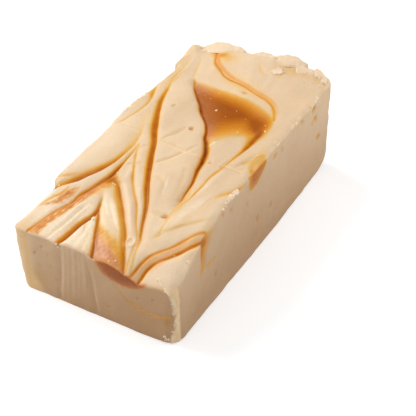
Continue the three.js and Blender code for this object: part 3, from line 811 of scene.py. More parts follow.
@dataclass(frozen=True)
class Pool:
    """The wide pool of caramel in the top, in the slab's own frame, mm.

    It deepens inwards from its upper rim and its lower foot. A milky strip follows its left shore, partly a
    painted reflection of the lights.
    """

    upper: Route = (
        (-15, 31.4), (-12, 30.3), (-8, 29.4), (-4, 29), (0, 28.6), (3, 28.1), (6, 27.5), (8, 26.8),
        (10, 25.9), (12, 24.8), (14, 23.6), (16, 22.3), (17.7, 20.6), (18.5, 18.7), (18.8, 16.5),
        (18.8, 14), (18.7, 11.8), (18.3, 9.8), (17.6, 7.2), (17, 4.5),
    )
    lower: Route = (
        (4.8, 3.2), (7.2, 4.5), (9.1, 6.4), (11.4, 8.4), (13.6, 9.6), (14.9, 9), (15.7, 7.4), (15.6, 4.3),
        (15.2, 0),
    )
    rim_reach: tuple[float, ...] = (-0.5, 0.0, 0.6, 1.4, 2.6, 4.2, 6.0)
    rim_tone: tuple[float, ...] = (0.0, 0.12, 0.32, 0.46, 0.62, 0.78, 0.89)
    foot_reach: tuple[float, ...] = (-1.6, 0.0, 1.6, 3.6, 6.0, 8.5, 11.5)
    foot_tone: tuple[float, ...] = (0.0, 0.14, 0.32, 0.45, 0.56, 0.71, 0.88)
    right_end: Span = (9.5, 16.5)
    rim_crowding: float = 0.5
    foot_crowding: float = 1.3
    tail_across: Span = (12.0, 14.0)
    tail_along: Span = (-6.5, -3.5)
    strip_middle: float = 1.3
    strip_width: float = 1.2
    strip_widening: float = 2.0
    strip_widens: Span = (8.0, 18.0)
    strip_starts: Span = (3.0, 7.0)
    strip_milk_and_reflection: float = 0.8
    strip_tone: float = 0.62
    strip_pull: float = 0.55
    strip_least: float = 0.36
    dip: float = 0.8
    deeper: float = 0.3

    def read(self, u: Array, v: Array, reading: Reading) -> None:
        """Add the pool to a reading of the top.

        Args:
            u, v: Across and along the slab, mm.
            reading: The reading to add to.
        """
        rim = reach_from(self.upper, u, v, -1)
        left = reach_from(CENTRE_CLEFT, u, v, 1)
        low = reach_from(self.lower, u, v, 1)
        end = soft_step(u, *self.right_end)
        shore = np.interp(rim * (1.0 + self.rim_crowding * end), self.rim_reach, self.rim_tone)
        foot = np.interp(low * (1.0 + self.foot_crowding * end), self.foot_reach, self.foot_tone)
        inside = soft_step(left, -0.2, 0.4)
        tail = soft_step(u, *self.tail_across) * soft_step(-v, *self.tail_along)
        amount = np.minimum(shore, foot) * inside * (1.0 - tail)
        width = self.strip_width + self.strip_widening * soft_step(v, *self.strip_widens)
        # The pale milky strip along the left shore is partly milky caramel and partly a painted reflection
        # of the lights.
        strip = np.exp(-(((left - self.strip_middle) / width) ** 2)) * soft_step(v, *self.strip_starts)
        milk = self.strip_milk_and_reflection * strip * soft_step(amount, 0.16, 0.4)
        pull = (amount - self.strip_tone) * self.strip_pull * strip * soft_step(amount, 0.3, 0.56)
        amount = np.where(strip > 0.05, amount - pull, amount)
        amount = np.maximum(amount, self.strip_least * strip * inside * soft_step(12.0 - v, 0.0, 4.0))
        where = np.flatnonzero(amount > 0.002)
        before = reading.caramel[where]
        value = amount[where]
        reading.caramel[where] = np.maximum(before, value)
        reading.milk[where] = np.maximum(reading.milk[where], milk[where] * (value > before - 0.1))
        sunk = soft_step(left, -0.3, 1.0) * soft_step(rim, -1.0, 5.0) * soft_step(low, -1.0, 6.0)
        reading.drop = np.maximum(reading.drop, self.dip * sunk) + self.deeper * self.dip * sunk


@dataclass(frozen=True)
class Tongue:
    """The tongue of caramel that runs over the top to the front cut, in the slab's own frame, mm."""

    top: Route = (
        (-8.2, -30.2), (-6.3, -32.6), (-4.7, -33.9), (-2.3, -35), (0.3, -36), (2.8, -37), (4.6, -37.8),
    )
    blush: Route = (
        (-7.4, -32.2), (-5.9, -34.4), (-3.9, -36.6), (-1.6, -38.3), (1.0, -39.3), (3.6, -40.4),
        (6.1, -41.6), (8.3, -43.2),
    )
    crackle: Ripple = Ripple(seed=23, wavelength=1.0, stretch=(1.0, 1.6), waves=24, height=0.08)
    back: float = -29.5
    bank: float = 1.2
    brink_at: float = -44.8
    brink_width: float = 0.5
    tone: float = 0.17
    low_tone: float = 0.2
    gold_tone: float = 0.15
    shore_tone: float = 0.12
    pink_tone: float = 0.53
    pink_share: float = 0.9

    def read(self, u: Array, v: Array, reading: Reading) -> None:
        """Add the tongue to a reading of the top.

        Args:
            u, v: Across and along the slab, mm.
            reading: The reading to add to.
        """
        left = reach_from(TONGUE_EDGE, u, v, 1)
        right = reach_from(FRONT_RIB, u, v, -1)
        below = reach_from(self.top, u, v, -1)
        inside = soft_step(left, -0.2, 0.4) * soft_step(below, -0.7, 1.0) * soft_step(right, -0.4, 0.3)
        inside = inside * (v < self.back)
        gold = np.exp(-((right / self.bank) ** 2)) * soft_step(below, 0.0, 2.5)
        # Darker caramel along the left bank, partly painted shade where the lobe beside it falls steeply
        # into the tongue.
        shore = np.exp(-((left / self.bank) ** 2)) * soft_step(-32.0 - v, 0.0, 4.0)
        brink = np.exp(-(((v - self.brink_at) / self.brink_width) ** 2))
        pink = soft_step(reach_from(self.blush, u, v, -1), 0.0, 2.0)
        pink = pink * (1.0 - 0.5 * gold) * (1.0 - 0.75 * brink)
        amount = self.tone + self.low_tone * soft_step(below, 0.2, 2.4)
        amount = amount + self.gold_tone * gold + self.shore_tone * shore
        amount = amount + (self.pink_tone - amount) * self.pink_share * pink
        amount = amount * (1.0 + self.crackle.at(u, v))
        where = np.flatnonzero(inside > 0.01)
        reading.stain(where, (inside * amount)[where], 0.0)
        reading.milk[where] = np.maximum(reading.milk[where], (self.pink_share * pink * inside)[where])


@dataclass(frozen=True)
class Pocket:
    """A pocket of caramel that a cut opens: a leaning ellipsoid in the slab's own frame, mm.

    The drift names the axis that leans, the axis it leans along and how far. The last field tells at
    which tilts of the surface the pocket begins to show and shows in full.
    """

    face: Face
    middle: Triple
    half: Triple
    drift: tuple[int, int, float]
    core: float
    rim: float
    milk: float
    shows: Span

    def reach(self, place: Array) -> Array:
        """Measure how far out in the pocket points lie.

        Args:
            place: Points in the slab's own frame, mm.

        Returns:
            0 in the middle, 1 at the pocket's skin, more outside.
        """
        offset = place - np.array(self.middle)
        axis, along, rate = self.drift
        offset[:, axis] = offset[:, axis] - rate * offset[:, along]
        return np.sqrt(((offset / np.array(self.half)) ** 2).sum(axis=1))

    def stain(self, slab: "Slab", caramel: Array, milk: Array) -> None:
        """Stain the cut face where it opens the pocket.

        Args:
            slab: The slab that is cut.
            caramel: The caramel at each point, which is raised.
            milk: Its milkiness at each point, which is set.
        """
        reach = self.reach(slab.place)
        facing = soft_step(slab.normal @ self.face.outward, *self.shows)
        inside = 1.0 - soft_step(reach, 0.9, 1.06)
        amount = (self.core + (self.rim - self.core) * soft_step(reach, 0.55, 1.0)) * inside * facing
        milk[:] = np.where(amount > caramel, self.milk, milk)
        caramel[:] = np.maximum(caramel, amount)


@dataclass(frozen=True)
class CutShade:
    """The cut faces' own duller tone and painted shade, each rise as its amount and where it starts and
    ends.
    """

    front: float = 0.38
    # Painted shade: the front cut darkens towards its foot.
    front_foot: float = 0.42
    front_power: float = 1.3
    # Painted shade: the front cut darkens towards its right end.
    front_rises: tuple[Triple, ...] = ((0.18, -14.0, -4.0), (0.26, 2.0, 16.0))
    side: float = 0.36
    # Painted shade: the side cuts darken towards their foot.
    side_foot: float = 0.7
    side_power: float = 1.2
    # Painted shade: the side cuts darken towards the near end and lighten towards the rear.
    side_rises: tuple[Triple, ...] = ((0.14, 15.0, -5.0), (-0.14, 18.0, 40.0))
    # Painted light: near its top edge the front cut loses some shade and is whitened.
    brow: Span = (0.92, 1.0)
    brow_ease: float = 0.7
    brow_pale: float = 0.5

    def read(self, x: Array, y: Array, up: Array, ahead: Array) -> Array:
        """Read the tone and painted shade.

        Args:
            x, y: Across and along the slab, mm.
            up: How far up its side each point is, 0 to 1.
            ahead: How much each point belongs to the front cut, 0 to 1.

        Returns:
            The tint at each point.
        """
        deep = 1.0 - np.clip(up, 0.0, 1.0)
        front = self.front + self.front_foot * deep**self.front_power
        for amount, low, high in self.front_rises:
            front = front + amount * soft_step(x, low, high)
        front = front * (1.0 - self.brow_ease * soft_step(up, *self.brow))
        side = self.side + self.side_foot * deep**self.side_power
        for amount, low, high in self.side_rises:
            side = side + amount * soft_step(y, low, high)
        return ahead * front + (1.0 - ahead) * side


@dataclass(frozen=True)
class Strip:
    """Painted light: the paler, golden strip where the rounded left end of the front cut catches the light,
    in the slab's own frame, mm.
    """

    across: Span = (19.0, 23.4)
    faces: Span = (0.1, 0.5)
    foot: float = 8.0
    foot_lean: float = 2.6
    clear: float = 0.95
    gold: float = 0.27
    pale: float = 0.27
    edge: Span = (22.4, 23.8)
    edge_pale: float = 0.2

    def share(self, x: Array, z: Array, forward: Array) -> Array:
        """Tell how much each point belongs to the strip."""
        lean = self.foot_lean * soft_step(self.foot - z, 0.0, self.foot)
        return soft_step(lean - x, *self.across) * soft_step(forward, *self.faces)

    def whiteness(self, x: Array) -> Array:
        """Tell how much painted light whitens the strip, more at the slab's edge."""
        return self.pale + self.edge_pale * soft_step(-x, *self.edge)


@dataclass(frozen=True)
class Fin:
    """The thin ragged ridge down the front right corner, in the slab's own frame, mm."""

    seam: Curve = (
        (0, 21.6), (2.6, 22.1), (4.4, 22.5), (5.9, 22.9), (8, 22.8), (10.4, 23.1), (11.4, 22.5),
        (13.4, 22.7), (15.4, 22.5), (17.4, 22.1), (18.7, 21.6), (19.6, 20.6), (20.2, 19.2), (20.8, 17.6),
        (24, 16.2),
    )
    starts: Span = (-0.1, 0.35)
    faces: Span = (0.34, 0.5)
    gold: float = 0.24
    # Painted light: the fin is whitened as if it caught the light; the seam adds pale chips.
    pale: float = 0.5
    seam_width: float = 0.35
    seam_pale: float = 0.4
    chips: Ripple = Ripple(8, 2.4, (1.0, 1.5))
    chip_span: Span = (-0.5, 0.9)
    height: float = 0.25
    least: float = 0.7
    crest: float = 0.5
    fade: float = 0.7
    ripple: Ripple = Ripple(9, 1.6, (1.0, 1.4), height=0.1)

    def past(self, x: Array, z: Array) -> Array:
        """Measure how far past the seam points lie, mm."""
        return x - np.interp(z, *np.array(self.seam).T)

    def share(self, past: Array, forward: Array) -> Array:
        """Tell how much each point belongs to the fin."""
        return soft_step(past, *self.starts) * soft_step(forward, *self.faces)

    def whiteness(self, past: Array, u: Array, v: Array) -> Array:
        """Tell how pale the fin is: painted light over all of it and pale chips along its seam."""
        seam = np.exp(-(((past - self.seam_width) / self.seam_width) ** 2))
        return self.pale + self.seam_pale * seam * soft_step(self.chips.at(u, v), *self.chip_span)

    def stand(self, past: Array, u: Array, v: Array) -> Array:
        """Tell how far the fin stands out, mm."""
        fall = self.least + self.crest * np.exp(-np.maximum(past, 0.0) / self.fade)
        return self.height * fall + self.ripple.at(u, v)


@dataclass
class Slab:
    """The fudge block: a worn box with fine relief and marks at each point, sizes in mm."""

    length: float = 90.0
    width: float = 48.4
    height: float = 27.0
    cells: tuple[int, int, int] = (160, 296, 52)
    crowding: float = 0.3
    cross_rise: float = 3.3
    ramp_fall: tuple[float, float] = (5.5, 2.3)
    ramp_back: float = -15.0
    lip_fall: float = 3.5
    lip_back: float = -38.0
    lip_sides: Span = (-4.0, 18.0)
    lip_ease: float = 0.4
    lip_eases: Span = (13.0, 22.0)
    edge_dips: tuple[Triple, ...] = ((-0.2, 2.6, 0.8), (12.2, 2.6, 0.8))
    dip_back: float = -40.5
    rear_rise: tuple[float, float] = (1.0, 3.8)
    rear_start: float = 33.0
    rear_bulge: float = 1.0
    left_lean: float = 2.0
    lean_power: float = 2.6
    corner_flare: float = 2.5
    left_edge: Curve = (
        (-45, 0), (-40, -0.1), (-33, 0.1), (-29.4, 0.1), (-28.2, 0.5), (-27.4, -0.4), (-26.4, -1.0),
        (-24.6, -0.9), (-22.4, -0.5), (-19, -0.1), (-8, 0.2), (0, -0.1), (3, -0.4), (8, -0.5), (15, -0.4),
        (21, 0), (24, 0.4), (27, 0.9), (31, 1.2), (34.6, 1.3), (35.6, 0.4), (36.2, -0.5), (38, -0.4),
        (40, 0), (43, -0.2), (45, -0.4),
    )
    left_edge_up: Span = (0.35, 0.95)
    rear_edge: Curve = (
        (-24.2, 0.5), (-22.6, 1.0), (-21, 0.7), (-19.4, -0.3), (-17.6, -0.5), (-15, 0), (-8, 0.2),
        (-3, 0.2), (0, 0.7), (4, 0.8), (8, 0.9), (12, 1.0), (16, 0.8), (19, 0.6), (22, 0.2), (24.2, -0.3),
    )
    rear_edge_along: Span = (40.5, 44.0)
    corner_waver: Curve = (
        (0, -6.0), (1, -4.2), (2, -2.2), (3, -0.2), (4.2, 0.9), (5.6, 1.4), (7.5, 0.9), (12, 0.7),
        (16, 0.9), (18, 0.5), (24, 0.7), (27, 0.5),
    )
    waver_across: Span = (6.0, 22.0)
    waver_along: Span = (30.0, 45.0)
    side_round: float = 1.7
    side_round_least: float = 2.3
    top_round: float = 1.2
    foot_round: float = 1.2
    foot_wear: float = 0.7
    corner_wear: float = 1.7
    low_wear: float = 0.9
    rear_wear: float = 3.0
    skirt: float = 1.0
    swell: Ripple = Ripple(3, 13.0, (1.0, 1.7), height=0.16)
    dimples: Ripple = Ripple(4, 3.2, (1.0, 2.0), height=0.05)
    drag: Ripple = Ripple(5, 7.0, height=0.07)
    tooth: Ripple = Ripple(6, 1.6, height=0.012)
    edge_chips: Ripple = Ripple(10, 5.0)
    edge_pale: float = 0.3
    streak_pale: float = 0.8
    streak_look: float = 2.0
    golden_milk: float = 0.1
    pool: Pool = Pool()
    tongue: Tongue = Tongue()
    front_pocket: Pocket = Pocket(
        Face.FRONT, (8.1, -45.0, 20.6), (8.6, 9.6, 6.1), (0, 1, -0.95), 0.82, 0.6, 0.85, (0.62, 1.0)
    )
    side_pocket: Pocket = Pocket(
        Face.RIGHT, (24.2, -0.6, 30.8), (4.2, 5.2, 6.4), (1, 2, 0.45), 0.72, 0.5, 0.1, (0.6, 0.98)
    )
    shade: CutShade = CutShade()
    strip: Strip = Strip()
    fin: Fin = Fin()
    shift: Array = field(default_factory=lambda: np.zeros(3))
    normal: Array = field(default_factory=lambda: np.zeros((0, 3)))
    place: Array = field(default_factory=lambda: np.zeros((0, 3)))
    marks: dict[Mark, Array] = field(default_factory=dict)

    def blank(self) -> Mesh:
        """Make a finely divided box of half size 1.

        Returns:
            The box: a grid for the top, rows of sides drawn down from its border and one floor.
        """
        across, along, up = self.cells
        box = bmesh.new()
        bmesh.ops.create_grid(box, x_segments=across, y_segments=along, size=1.0)
        bmesh.ops.translate(box, vec=(0, 0, 1), verts=box.verts)
        hem = [edge for edge in box.edges if edge.is_boundary]
        for _ in range(up):
            drawn = bmesh.ops.extrude_edge_only(box, edges=hem)["geom"]
            low = [item for item in drawn if isinstance(item, bmesh.types.BMVert)]
            bmesh.ops.translate(box, vec=(0, 0, -2.0 / up), verts=low)
            hem = [item for item in drawn if isinstance(item, bmesh.types.BMEdge) and item.is_boundary]
        bmesh.ops.holes_fill(box, edges=hem, sides=0)
        bmesh.ops.recalc_face_normals(box, faces=box.faces)
        return box

    def top_height(self, x: Array, y: Array) -> Array:
        """Work out the height of the top without its fine relief.

        Args:
            x, y: Across and along the slab, mm.

        Returns:
            Height above the floor, mm.
        """
        half = self.length / 2
        across = np.clip(x / self.width + 0.5, 0.0, 1.0)
        ramp = 1.0 - soft_step(y, -half, self.ramp_back)
        lip = 1.0 - soft_step(y, -half, self.lip_back)
        brink = 1.0 - soft_step(y, -half, self.dip_back)
        rear = soft_step(y, self.rear_start, half)
        edge, crown = self.rear_rise
        rise = crown + (edge - crown) * (2 * across - 1) ** 2
        fall = (self.ramp_fall[0] + self.ramp_fall[1] * across) * ramp
        droop = self.lip_fall * lip * soft_step(x, *self.lip_sides)
        droop = droop * (1.0 - self.lip_ease * soft_step(x, *self.lip_eases))
        for place, reach, depth in self.edge_dips:
            droop = droop + depth * np.exp(-(((x - place) / reach) ** 2)) * brink
        lumps = np.interp(x, *np.array(self.rear_edge).T) * soft_step(y, *self.rear_edge_along)
        return self.height + self.cross_rise * across - fall - droop + rise * rear + lumps

    def shape(self, unit: Array) -> None:
        """Wear the box into the slab and read its marks.

        Args:
            unit: Points on the box of half size 1.
        """
        half = np.array([self.width, self.length, self.height]) / 2
        spread = unit.copy()
        spread[:, 2] = unit[:, 2] * (1 + self.crowding) - self.crowding * unit[:, 2] ** 3
        point = spread * half
        front = np.maximum(0.0, -point[:, 1] / half[1])
        worn = self.corner_wear * point[:, 0] / half[0] * front
        low = 0.5 - 0.5 * unit[:, 2]
        side = np.maximum(self.side_round_least, self.side_round + worn * (1.0 + self.low_wear * low))
        back = np.maximum(0.0, point[:, 1] / half[1]) ** 2 * soft_step(point[:, 0] / half[0], 0.4, 1.0)
        crest = self.top_round + np.maximum(0.0, worn) * front
        foot = self.foot_round + self.foot_wear * worn + self.rear_wear * back
        radius = np.stack([side, side, np.where(point[:, 2] > 0, crest, foot)], axis=1)
        core = np.clip(point, -(half - radius), half - radius)
        outward = (point - core) / radius
        outward /= np.linalg.norm(outward, axis=1, keepdims=True)
        point = core + outward * radius
        up = point[:, 2] / self.height + 0.5
        left = np.maximum(0.0, -point[:, 0] / half[0]) ** 2
        rear = np.maximum(0.0, point[:, 1] / half[1]) ** 4
        edge = np.interp(point[:, 1], *np.array(self.left_edge).T) * soft_step(up, *self.left_edge_up)
        point[:, 0] += left * (self.left_lean * (1 - up) ** self.lean_power + edge)
        point[:, 0] -= left * self.corner_flare * front**8
        point[:, 1] += rear * self.rear_bulge * np.sqrt(np.maximum(up, 0.0))
        nook = soft_step(point[:, 0], *self.waver_across) * soft_step(point[:, 1], *self.waver_along)
        point[:, 1] += nook * np.interp(up * self.height, *np.array(self.corner_waver).T)
        point[:, 2] = up * (self.top_height(point[:, 0], point[:, 1]) + self.skirt) - self.skirt
        self.normal = outward
        self.place = point
        self.mark(up)

    def mark(self, up: Array) -> None:
        """Mark every point and press the relief of all faces into the surface.

        Args:
            up: How far up its side each point is, 0 to 1.
        """
        x, y, z = self.place.T.copy()
        caramel, milk, push = self.read_faces(up)
        for pocket in (self.front_pocket, self.side_pocket):
            pocket.stain(self, caramel, milk)
        forward = -self.normal[:, 1]
        side = 1.0 - soft_step(self.normal[:, 2], 0.25, 0.75)
        ahead = soft_step(forward, 0.3, 0.8)
        past = self.fin.past(x, z)
        corner = self.fin.share(past, forward)
        strip = self.strip.share(x, z, forward) * side
        # Cut tone and painted shade on the cut faces, and painted shade patches on the top; the fin and the
        # lit strip are left out.
        cut = side * self.shade.read(x, y, up, ahead) * (1.0 - corner)
        for patch, amount in SHADE_PATCHES:
            cut = np.maximum(cut, amount * patch.share(x, y) * (1.0 - side))
        cut = cut * (1.0 - soft_step(caramel, 0.2, 0.5)) * (1.0 - self.strip.clear * strip)
        golden = np.maximum(self.fin.gold * corner, self.strip.gold * strip) * side
        clearer = milk + (self.golden_milk - milk) * soft_step(golden, 0.05, 0.2)
        milk = np.where(caramel < golden, clearer, milk)
        caramel = np.maximum(caramel, golden)
        # Painted light: the fin, the strip and the front cut's brow are whitened where they catch the
        # light; the fin's seam also has pale chips.
        pale = self.fin.whiteness(past, x + y, z) * corner * side
        pale = np.maximum(pale, self.strip.whiteness(x) * strip)
        brow = soft_step(up, *self.shade.brow)
        pale = np.maximum(pale, self.shade.brow_pale * ahead * side * brow)
        pale = self.whiten(pale, caramel, side, ahead)
        push += (self.fin.stand(past, x - y, z) * corner * side)[:, None] * self.normal
        self.place = self.place + push
        self.place[:, 2] = np.maximum(self.place[:, 2], 0.0)
        self.marks = {Mark.CARAMEL: caramel, Mark.MILK: milk, Mark.PALE: pale, Mark.CUT: cut}

    def read_faces(self, up: Array) -> tuple[Array, Array, Array]:
        """Read the patterns of all faces.

        Args:
            up: How far up its side each point is, 0 to 1.

        Returns:
            The caramel, its milkiness and the relief as a push in mm, at each point.
        """
        caramel = np.zeros(len(up))
        milk = np.zeros(len(up))
        push = np.zeros((len(up), 3))
        for face, pattern in PATTERNS.items():
            facing = self.normal @ face.outward
            near = np.flatnonzero(facing > 0.01)
            u, v = self.place[near][:, face.axes].T.copy()
            reading = pattern.read(u, v)
            if face is Face.TOP:
                share = soft_step(facing[near], 0.12, 0.6)
                self.pool.read(u, v, reading)
                self.tongue.read(u, v, reading)
                calm = 1.0 - 0.85 * soft_step(reading.caramel, 0.2, 0.5)
                drop = reading.drop - self.swell.at(u, v)
                drop = drop - calm * self.dimples.at(u, v)
                ease = 0.45 + 0.55 * soft_step(v, -45.4, -42.6)
                push[near, 2] -= drop * ease * np.clip(up[near], 0.0, 1.0)
            else:
                share = soft_step(facing[near], 0.35, 0.85)
                rough = self.drag.at(u, v) + self.tooth.at(u, v)
                push[near] -= ((reading.drop + rough) * share)[:, None] * face.outward
            caramel[near] = np.maximum(caramel[near], reading.caramel * share)
            milk[near] = np.maximum(milk[near], reading.milk * share)
        return caramel, milk, push

    def whiten(self, pale: Array, caramel: Array, side: Array, ahead: Array) -> Array:
        """Add painted highlights along the crests, round the bubble's rim and in patches, and the pale
        streaks and chipped edges.

        Args:
            pale: How pale each point is so far.
            caramel: The caramel at each point.
            side: How much each point belongs to a side, 0 to 1.
            ahead: How much each point belongs to the front cut, 0 to 1.

        Returns:
            How pale each point is.
        """
        x, y, z = self.place.T.copy()
        lines = [(route, y, 1.0 - side) for route in (*HIGHLIT_CRESTS, RING_HIGHLIGHT)]
        lines += [(route, z, self.streak_pale * ahead * side) for route in FRONT_STREAKS]
        for route, along, share in lines:
            near, gap, strength, width = Fold(route, 1, 1).measure(x, along, self.streak_look)
            streak = strength * np.exp(-((gap / width) ** 2)) * share[near]
            pale[near] = np.maximum(pale[near], streak)
        tilt = self.normal[:, 2]
        rim = soft_step(tilt, 0.2, 0.6) * (1 - soft_step(tilt, 0.75, 0.97))
        chipped = soft_step(self.edge_chips.at(y, x), 0.0, 1.2)
        pale = np.maximum(pale, self.edge_pale * rim * chipped) * (1.0 - soft_step(caramel, 0.22, 0.5))
        clean = (1.0 - side) * (1.0 - soft_step(caramel, 0.1, 0.4))
        # Painted highlight patches on the top.
        for patch, amount in HIGHLIGHT_PATCHES:
            pale = np.maximum(pale, amount * patch.share(x, y) * clean)
        return pale


@dataclass(frozen=True)
class Inlay:
    """A pocket or pool of caramel that lies in the block as a piece of its own."""

    piece: str
    node: str
    depth: float
    face: Face
    swell: float = 1.1
    swell_power: float = 1.5
    least_caramel: float = 0.16
    least_tilt: float = 0.9
    within: float = 0.97
    floor: float = 5.0

    def holds(self, slab: Slab) -> Array:
        """Tell which points of the slab's surface belong to this caramel.

        Args:
            slab: The shaped slab.

        Returns:
            True at each point inside.
        """
        if self.face is Face.TOP:
            x, y, _ = slab.place.T
            reading = Reading.blank(len(x))
            slab.pool.read(x, y, reading)
            return (reading.caramel > self.least_caramel) & (slab.normal[:, 2] > self.least_tilt)
        pocket = slab.front_pocket if self.face is Face.FRONT else slab.side_pocket
        return (pocket.reach(slab.place) < self.within) & (slab.place[:, 2] > self.floor)


def write_points(mesh: Mesh, points: Array) -> None:
    """Move a mesh's points.

    Args:
        mesh: The mesh.
        points: The new places in metres, in the order of the mesh's points.
    """
    for vert, place in zip(mesh.verts, points):
        vert.co = place


def make_object(name: str, mesh: Mesh, finish: Material) -> bpy.types.Object:
    """Turn a finished mesh into a piece that rides on the frame.

    Args:
        name: The piece's name.
        mesh: Its mesh, which is freed.
        finish: Its material.

    Returns:
        The new object.
    """
    data = bpy.data.meshes.new(name)
    mesh.to_mesh(data)
    mesh.free()
    data.shade_smooth()
    data.materials.append(finish)
    piece = bpy.data.objects.new(name, data)
    bpy.context.scene.collection.objects.link(piece)
    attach(piece, "root")
    log.info("%s: %d points, %d faces", name, len(data.vertices), len(data.polygons))
    return piece


@dataclass
class Graph:
    """Nodes of one material or group, added and linked in words."""

    tree: Tree

    @classmethod
    def group(cls, name: str, marks: tuple[Mark, ...], results: dict[str, str]) -> "Graph":
        """Start a shared group.

        Args:
            name: The group's name.
            marks: The marks that are its inputs.
            results: The names of its outputs, each with its type of socket.

        Returns:
            The graph of the group.
        """
        tree = bpy.data.node_groups.new(name, "ShaderNodeTree")
        for mark in marks:
            tree.interface.new_socket(mark.value.title(), in_out="INPUT", socket_type="NodeSocketFloat")
        for result, kind in results.items():
            tree.interface.new_socket(result, in_out="OUTPUT", socket_type=kind)
        return cls(tree)

    def add(self, kind: str, **settings: object) -> bpy.types.Node:
        """Add a node.

        Args:
            kind: The node's type.
            **settings: Its properties.

        Returns:
            The node.
        """
        node = self.tree.nodes.new(kind)
        for name, value in settings.items():
            setattr(node, name, value)
        return node

    def link(self, source: Socket, target: Socket) -> None:
        """Join an output to an input."""
        self.tree.links.new(source, target)

    def feed(self, target: Socket, value: object) -> None:
        """Give an input its value.

        Args:
            target: The input.
            value: A socket to join to it, or a constant.
        """
        if isinstance(value, Socket):
            self.link(value, target)
        else:
            target.default_value = value

    def blend(self, how: str, factor: object, first: object, second: object) -> Socket:
        """Mix two colours.

        Args:
            how: The blend type.
            factor: A socket or a number.
            first: A socket or a colour.
            second: A socket or a colour.

        Returns:
            The mixed colour.
        """
        node = self.add("ShaderNodeMix", data_type="RGBA", blend_type=how)
        for index, value in ((0, factor), (6, first), (7, second)):
            self.feed(node.inputs[index], value)
        return node.outputs[2]

    def maths(self, how: str, first: object, second: object, clamp: bool = False) -> Socket:
        """Do a sum.

        Args:
            how: The operation.
            first: A socket or a number.
            second: A socket or a number.
            clamp: Whether to keep the result between 0 and 1.

        Returns:
            The result.
        """
        node = self.add("ShaderNodeMath", operation=how, use_clamp=clamp)
        self.feed(node.inputs[0], first)
        self.feed(node.inputs[1], second)
        return node.outputs[0]

    def noise(self, where: Socket, scale: float, detail: float, rough: float = 0.55) -> Socket:
        """Add a noise pattern.

        Args:
            where: The coordinates to read it at.
            scale: Its scale per metre.
            detail: How many finer layers it has.
            rough: How strong the finer layers are.

        Returns:
            Its value.
        """
        node = self.add("ShaderNodeTexNoise")
        self.link(where, node.inputs["Vector"])
        node.inputs["Scale"].default_value = scale
        node.inputs["Detail"].default_value = detail
        node.inputs["Roughness"].default_value = rough
        return node.outputs["Fac"]

    def ramp(self, value: Socket, stops: Stops) -> Socket:
        """Turn a value into a colour.

        Args:
            value: The value, 0 to 1.
            stops: Places and picture colours.

        Returns:
            The colour.
        """
        node = self.add("ShaderNodeValToRGB")
        band = node.color_ramp
        while len(band.elements) < len(stops):
            band.elements.new(1.0)
        for element, (place, colour) in zip(band.elements, stops):
            element.position = place
            element.color = linear(*colour)
        self.link(value, node.inputs["Fac"])
        return node.outputs["Color"]


@dataclass(frozen=True)
class Marbling:
    """The colour that all the fudge and caramel share, read from the marks on the surface."""

    caramel: Stops = (
        (0.0, (236, 208, 173)),
        (0.14, (238, 202, 148)),
        (0.3, (235, 182, 96)),
        (0.46, (226, 153, 40)),
        (0.62, (208, 126, 14)),
        (0.78, (186, 101, 4)),
        (0.9, (160, 80, 2)),
        (1.0, (122, 54, 2)),
    )
    milky: Stops = (
        (0.0, (236, 209, 176)),
        (0.2, (237, 194, 154)),
        (0.45, (228, 162, 116)),
        (0.7, (186, 110, 58)),
        (1.0, (134, 68, 30)),
    )
    mottle: Stops = ((0.3, (249, 247, 243)), (0.7, (255, 255, 255)))
    mottle_share: float = 0.8
    grain: Stops = ((0.3, (246, 243, 238)), (0.6, (255, 255, 255)))
    grain_share: float = 0.6
    # The colour of pale fudge and crumbs, also used for painted highlights.
    pale: Tone = (253, 233, 205)
    # The cut faces' own duller tone together with painted shade, laid on as the cut mark says.
    cut_tone_and_shade: Tone = (214, 199, 188)
    dull: float = 0.56
    caramel_gloss: float = -0.3
    cut_dull: float = 0.14

    def build(self) -> Tree:
        """Make the shared group.

        Returns:
            A group with the marks as inputs and colour and roughness as outputs.
        """
        results = {"Colour": "NodeSocketColor", "Roughness": "NodeSocketFloat"}
        graph = Graph.group("fudge_marbling", tuple(Mark), results)
        inside = graph.add("NodeGroupInput").outputs
        outside = graph.add("NodeGroupOutput").inputs
        where = graph.add("ShaderNodeTexCoord").outputs["Object"]
        broken = graph.maths("SUBTRACT", graph.noise(where, 900.0, 4.0), 0.5)
        edge = graph.maths("MULTIPLY", inside["Caramel"], graph.maths("SUBTRACT", 1.08, inside["Caramel"]))
        milky = graph.maths("ADD", graph.maths("MULTIPLY", inside["Milk"], 0.45), 0.25)
        stirred = graph.maths("MULTIPLY", broken, graph.maths("MULTIPLY", edge, milky))
        amount = graph.maths("ADD", inside["Caramel"], stirred, clamp=True)
        clear = graph.ramp(amount, self.caramel)
        colour = graph.blend("MIX", inside["Milk"], clear, graph.ramp(amount, self.milky))
        mottle = graph.ramp(graph.noise(where, 160.0, 3.0), self.mottle)
        colour = graph.blend("MULTIPLY", self.mottle_share, colour, mottle)
        grain = graph.ramp(graph.noise(where, 2600.0, 2.0), self.grain)
        colour = graph.blend("MULTIPLY", self.grain_share, colour, grain)
        # Darken by the cut mark: the cut faces' own tone and painted shade.
        tinted_and_shaded = graph.blend("MULTIPLY", inside["Cut"], colour, linear(*self.cut_tone_and_shade))
        uneven = graph.maths("ADD", graph.maths("MULTIPLY", graph.noise(where, 1400.0, 3.0), 1.2), 0.3)
        # The pale mark holds pale chips and crumbs as well as painted highlights.
        chips = graph.maths("MULTIPLY", inside["Pale"], uneven, clamp=True)
        colour = graph.blend("MIX", chips, tinted_and_shaded, linear(*self.pale))
        graph.link(colour, outside["Colour"])
        smooth = graph.maths("MULTIPLY", amount, self.caramel_gloss)
        dull = graph.maths("ADD", smooth, self.dull)
        worn = graph.maths("MULTIPLY", inside["Cut"], self.cut_dull)
        graph.link(graph.maths("ADD", dull, worn), outside["Roughness"])
        return graph.tree


